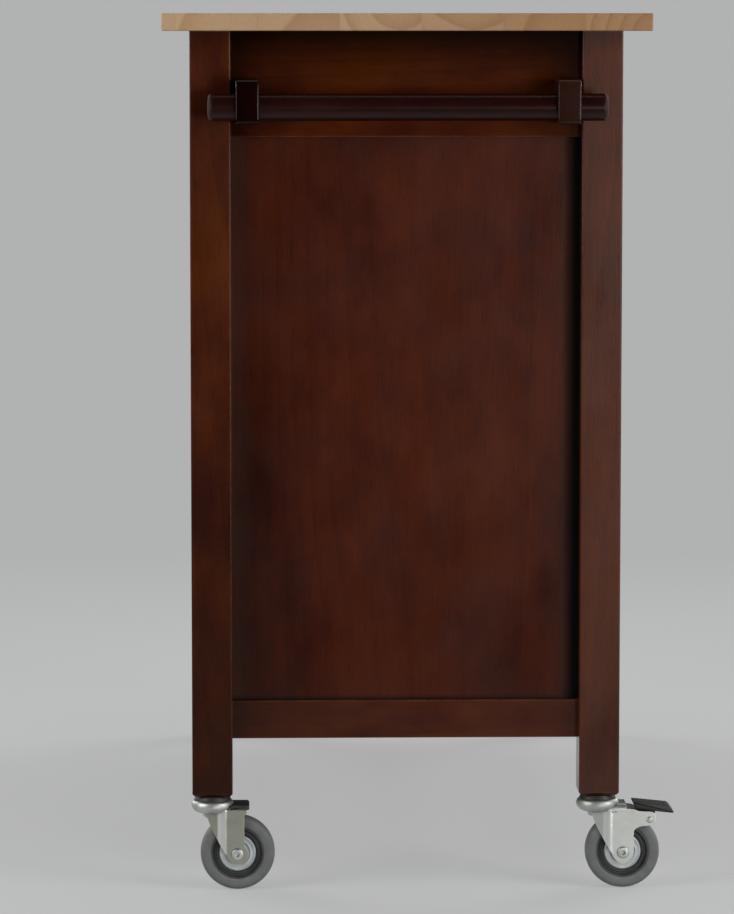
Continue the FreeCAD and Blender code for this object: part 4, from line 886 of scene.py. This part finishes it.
# %% Fork pieces
BOWL = softened([(6.8, 77.2), (7.2, 76.0), (9.4, 76.0), (11.0, 80.0), (18.6, 82.6), (22.3, 86.9),
                 (22.4, 90.2), (21.2, 93.5), (18.8, 94.8), (12.2, 94.5), (12.2, 92.9), (5.1, 92.9),
                 (5.1, 87.4), (16.6, 87.4), (12.4, 82.0)], 1.8, 6, closed=True)
RACE = softened([(12.3, 93.2), (19.0, 94.0), (19.2, 95.0), (17.7, 99.2), (17.0, 99.8), (12.3, 99.8)], 0.6, 4,
                closed=True)
BOLT = softened([(0, -17.4), (1.7, -17.4), (2.1, -19.5), (2.9, -19.6), (5.4, -19.4), (6.2, -18.6),
                 (6.2, -17.2), (0, -17.2)], 0.25, 4)
TAIL = softened([(0, 21.7), (3.2, 21.7), (4.0, 21.0), (4.0, 20.6), (0, 20.6)], 0.3, 4)
RIVET = [(0, 18.6), (1.8, 18.45), (3.2, 17.9), (3.6, 17.2), (0, 17.2)]
RIVET_AT = (0, TRAIL - 53.8, 34.5)
NUT_RADIUS, NUT_HEIGHT, NUT_AT = 7.2, 3.5, 18.95


def crossed(outline, width, rim, x):
    """A slab of a (y, z) outline, its middle at x."""
    points, faces = slab(np.asarray(outline, float), width, rim)
    return points[:, [2, 0, 1]] + [x, 0, 0], faces


sixth = np.arange(6) * math.pi / 3
HEXAGON = np.stack([-TRAIL + NUT_RADIUS * np.cos(sixth), AXLE + NUT_RADIUS * np.sin(sixth)], -1)
NUT = crossed(softened(HEXAGON, 0.5, 3, True), NUT_HEIGHT, 0.5, NUT_AT)
for corner in CORNERS:
    brake = corner.startswith("front")
    body, node, axle_node = f"fork_{corner}", f"caster_{corner}_fork", f"caster_{corner}_axle"
    plate = plated if brake else olive_plated
    sheet = piece(f"fork_sheet_{corner}", [at_caster(fork_sheet(brake), corner)], plate, body,
                  [node])
    # The fold gets the zinc's painted highlight.
    mark_bend(sheet, corner)
    thickened(sheet, SHEET, 0.45)
    for name, profile, finish in (("crown", BOWL, crown_plate), ("race_ring", RACE, race_painted_shade)):
        ring = lathe(np.concatenate([profile, profile[:1]]), 96)
        piece(f"{name}_{corner}", [at_caster(ring, corner)], finish, body, [node])
    parts = [about_axle(BOLT, 48), about_axle(TAIL, 32), NUT]
    if brake:
        for side in (-1, 1):
            points, faces = about_axle(softened([(r, side * x) for r, x in RIVET], 0.4, 4), 32)
            parts.append((points + RIVET_AT, faces))
    piece(f"axle_{corner}", [at_caster(part, corner) for part in parts], crown_plate, body,
          [axle_node])

# %% [markdown]
# ## Brake pedals and shade caps
# The two front casters brake. The pedal is a plastic shoe over the steel lever, with grip ribs across its
# top, and a foot below it that presses on the tyre. The back forks carry a short black cap of the same
# plastic over the arch: a dark piece that paints the shade on the arch's edge.

# %% Pedals and caps
PEDAL = softened([(-35.7, 92.2), (-74.3, 88.2), (-79.0, 82.2), (-79.7, 80.4), (-78.4, 79.6), (-62.2, 81.4),
                  (-39.9, 84.2)], 2.2, 5, closed=True)
FOOT = softened([(-47.2, 82.6), (-50.0, 71.6), (-53.8, 69.0), (-57.6, 71.6), (-60.6, 82.0)], 2.5, 5,
                closed=True)
SHADE_CAP = softened([(-17.6, 85.4), (-19.6, 91.0), (-36.4, 91.0), (-38.4, 89.6), (-38.4, 86.6), (-36.8, 85.4)],
               1.2, 5, closed=True)
PEDAL_WIDTH, FOOT_WIDTH, RIB_WIDTH = 25, 20, 20
PEDAL_TOP = np.array([(-35.5, 91.9), (-74.3, 87.9)])
GRIP_RIB = [(0.9, -0.5), (0.6, 0.7), (-0.8, 0.5), (-0.9, -0.7)]
SHADE_CAP_WIDTH = 33.6
RIB_COUNT = 7
for corner in CORNERS:
    if corner.startswith("front"):
        parts = [crossed(PEDAL[::-1], PEDAL_WIDTH, 1.4, 0), crossed(FOOT[::-1], FOOT_WIDTH, 0.8, 0)]
        for step in np.linspace(0.2, 0.86, RIB_COUNT):
            middle = PEDAL_TOP[0] + step * (PEDAL_TOP[1] - PEDAL_TOP[0])
            rib = softened(middle + GRIP_RIB, 0.5, 3, closed=True)
            parts.append(crossed(rib[::-1], RIB_WIDTH, 0.4, 0))
        body, name, nodes = f"lever_{corner}", f"pedal_{corner}", [f"caster_{corner}_brake_lever"]
    else:
        # A black cap over the arch: painted shade on the arch's edge.
        parts = [crossed(SHADE_CAP[::-1], SHADE_CAP_WIDTH, 1.6, 0)]
        body, name, nodes = f"fork_{corner}", f"fork_cap_{corner}", []
    piece(name, [at_caster(part, corner) for part in parts], pedal_black, body, nodes)
print("casters dressed")

# %% [markdown]
# ## Floor and light
# A pale floor runs on to the horizon, and the world beyond has the same grey. For the camera the floor fades
# into that grey, so it looks even while it keeps the cart's shadow; the world glows only dimly for everything
# else. The floor also glows for every other ray, though it is no lamp: painted light that lights the cart
# from below, and near the cart a painted reflection brighter than the backdrop. Large soft lamps stand to the
# sides and above, none behind the camera, so the lacquer shows no glare. A low one beside the camera lays the
# faint sheen on the front leg.

# %% Floor and world
BACKDROP = (0.44, 0.445, 0.445, 1)
FLOOR_SIZE = 60
floor_points = np.array([[[-1, -1, 0], [-1, 1, 0]], [[1, -1, 0], [1, 1, 0]]], float) * FLOOR_SIZE / 2
floor_mesh = bpy.data.meshes.new("floor")
floor_mesh.from_pydata(floor_points.reshape(-1, 3).tolist(), [], [[0, 2, 3, 1]])
floor = bpy.data.objects.new("floor", floor_mesh)
bpy.context.scene.collection.objects.link(floor)

FLOOR_LIT_SHARE = 0.27
FLOOR_GAIN = 1.5
# Painted light: the floor's glow that lights the cart from below, and its brighter glow in reflections near
# the cart.
FLOOR_GLOW = 0.25
FLOOR_MIRRORED = 1.4
FAR_MIRRORED = 0.04
NEAR, FAR = 0.9, 2.4
material, tree, shader = new_material("floor_paint", Roughness=0.9, Specular_IOR_Level=0.0)
away = add(tree, "VectorMath", {0: object_place(tree)}, operation="LENGTH").outputs["Value"]
lit = between(tree, away, NEAR, FAR, FLOOR_LIT_SHARE, 0.0)
base = add(tree, "VectorMath", {0: BACKDROP[:3], "Scale": calc(tree, "MULTIPLY", lit, FLOOR_GAIN)},
           operation="SCALE").outputs[0]
tree.links.new(base, shader.inputs["Base Color"])
path = add(tree, "LightPath").outputs
unlit = calc(tree, "SUBTRACT", 1.0, lit)
glow = add(tree, "Mix", {0: path["Is Camera Ray"], 2: FLOOR_GLOW, 3: unlit}).outputs[0]
shine = between(tree, away, NEAR, FAR, FLOOR_MIRRORED, FAR_MIRRORED)
glow = add(tree, "Mix", {0: path["Is Glossy Ray"], 2: glow, 3: shine}).outputs[0]
tree.links.new(glow, shader.inputs["Emission Strength"])
shader.inputs["Emission Color"].default_value = BACKDROP
floor_mesh.materials.append(material)

AMBIENT = 0.14
MIRRORED = 0.05
world = bpy.data.worlds.new("studio")
bpy.context.scene.world = world
world.use_nodes = True
tree = world.node_tree
tree.nodes.clear()
shown = add(tree, "Background", {"Color": BACKDROP, "Strength": 1.0}).outputs[0]
path = add(tree, "LightPath").outputs
level = add(tree, "Mix", {0: path["Is Glossy Ray"], 2: AMBIENT, 3: MIRRORED}).outputs[0]
fill = add(tree, "Background", {"Color": (1, 1, 1, 1), "Strength": level}).outputs[0]
straight = calc(tree, "MAXIMUM", path["Is Camera Ray"], path["Is Transmission Ray"])
mixed = add(tree, "MixShader", {0: straight, 1: fill, 2: shown}).outputs[0]
add(tree, "OutputWorld", {"Surface": mixed})

# %% Lamps
LAMPS = {
    "right_front": ((-1.6, -2.1, 1.25), 1.4, 54),
    "left_front": ((-1.5, 2.2, 1.25), 1.4, 48),
    "right_sheen": ((-4.6, -1.62, 0.42), 0.9, 60),
    "right_back": ((2.8, -3.2, 2.0), 2.4, 110),
    "left_back": ((2.8, 3.4, 2.0), 2.4, 110),
    "above": ((1.0, 0.0, 3.3), 2.2, 30),
}
cart_middle = [(a + b) / 2 for a, b in zip(*cad_box)]
for name, (place, size, watts) in LAMPS.items():
    lamp = bpy.data.objects.new(name, bpy.data.lights.new(name, "AREA"))
    lamp.data.size = size
    lamp.data.energy = watts
    lamp.location = place
    bpy.context.scene.collection.objects.link(lamp)
    turn_to(lamp, cart_middle)
bpy.context.scene.view_settings.view_transform = "Standard"
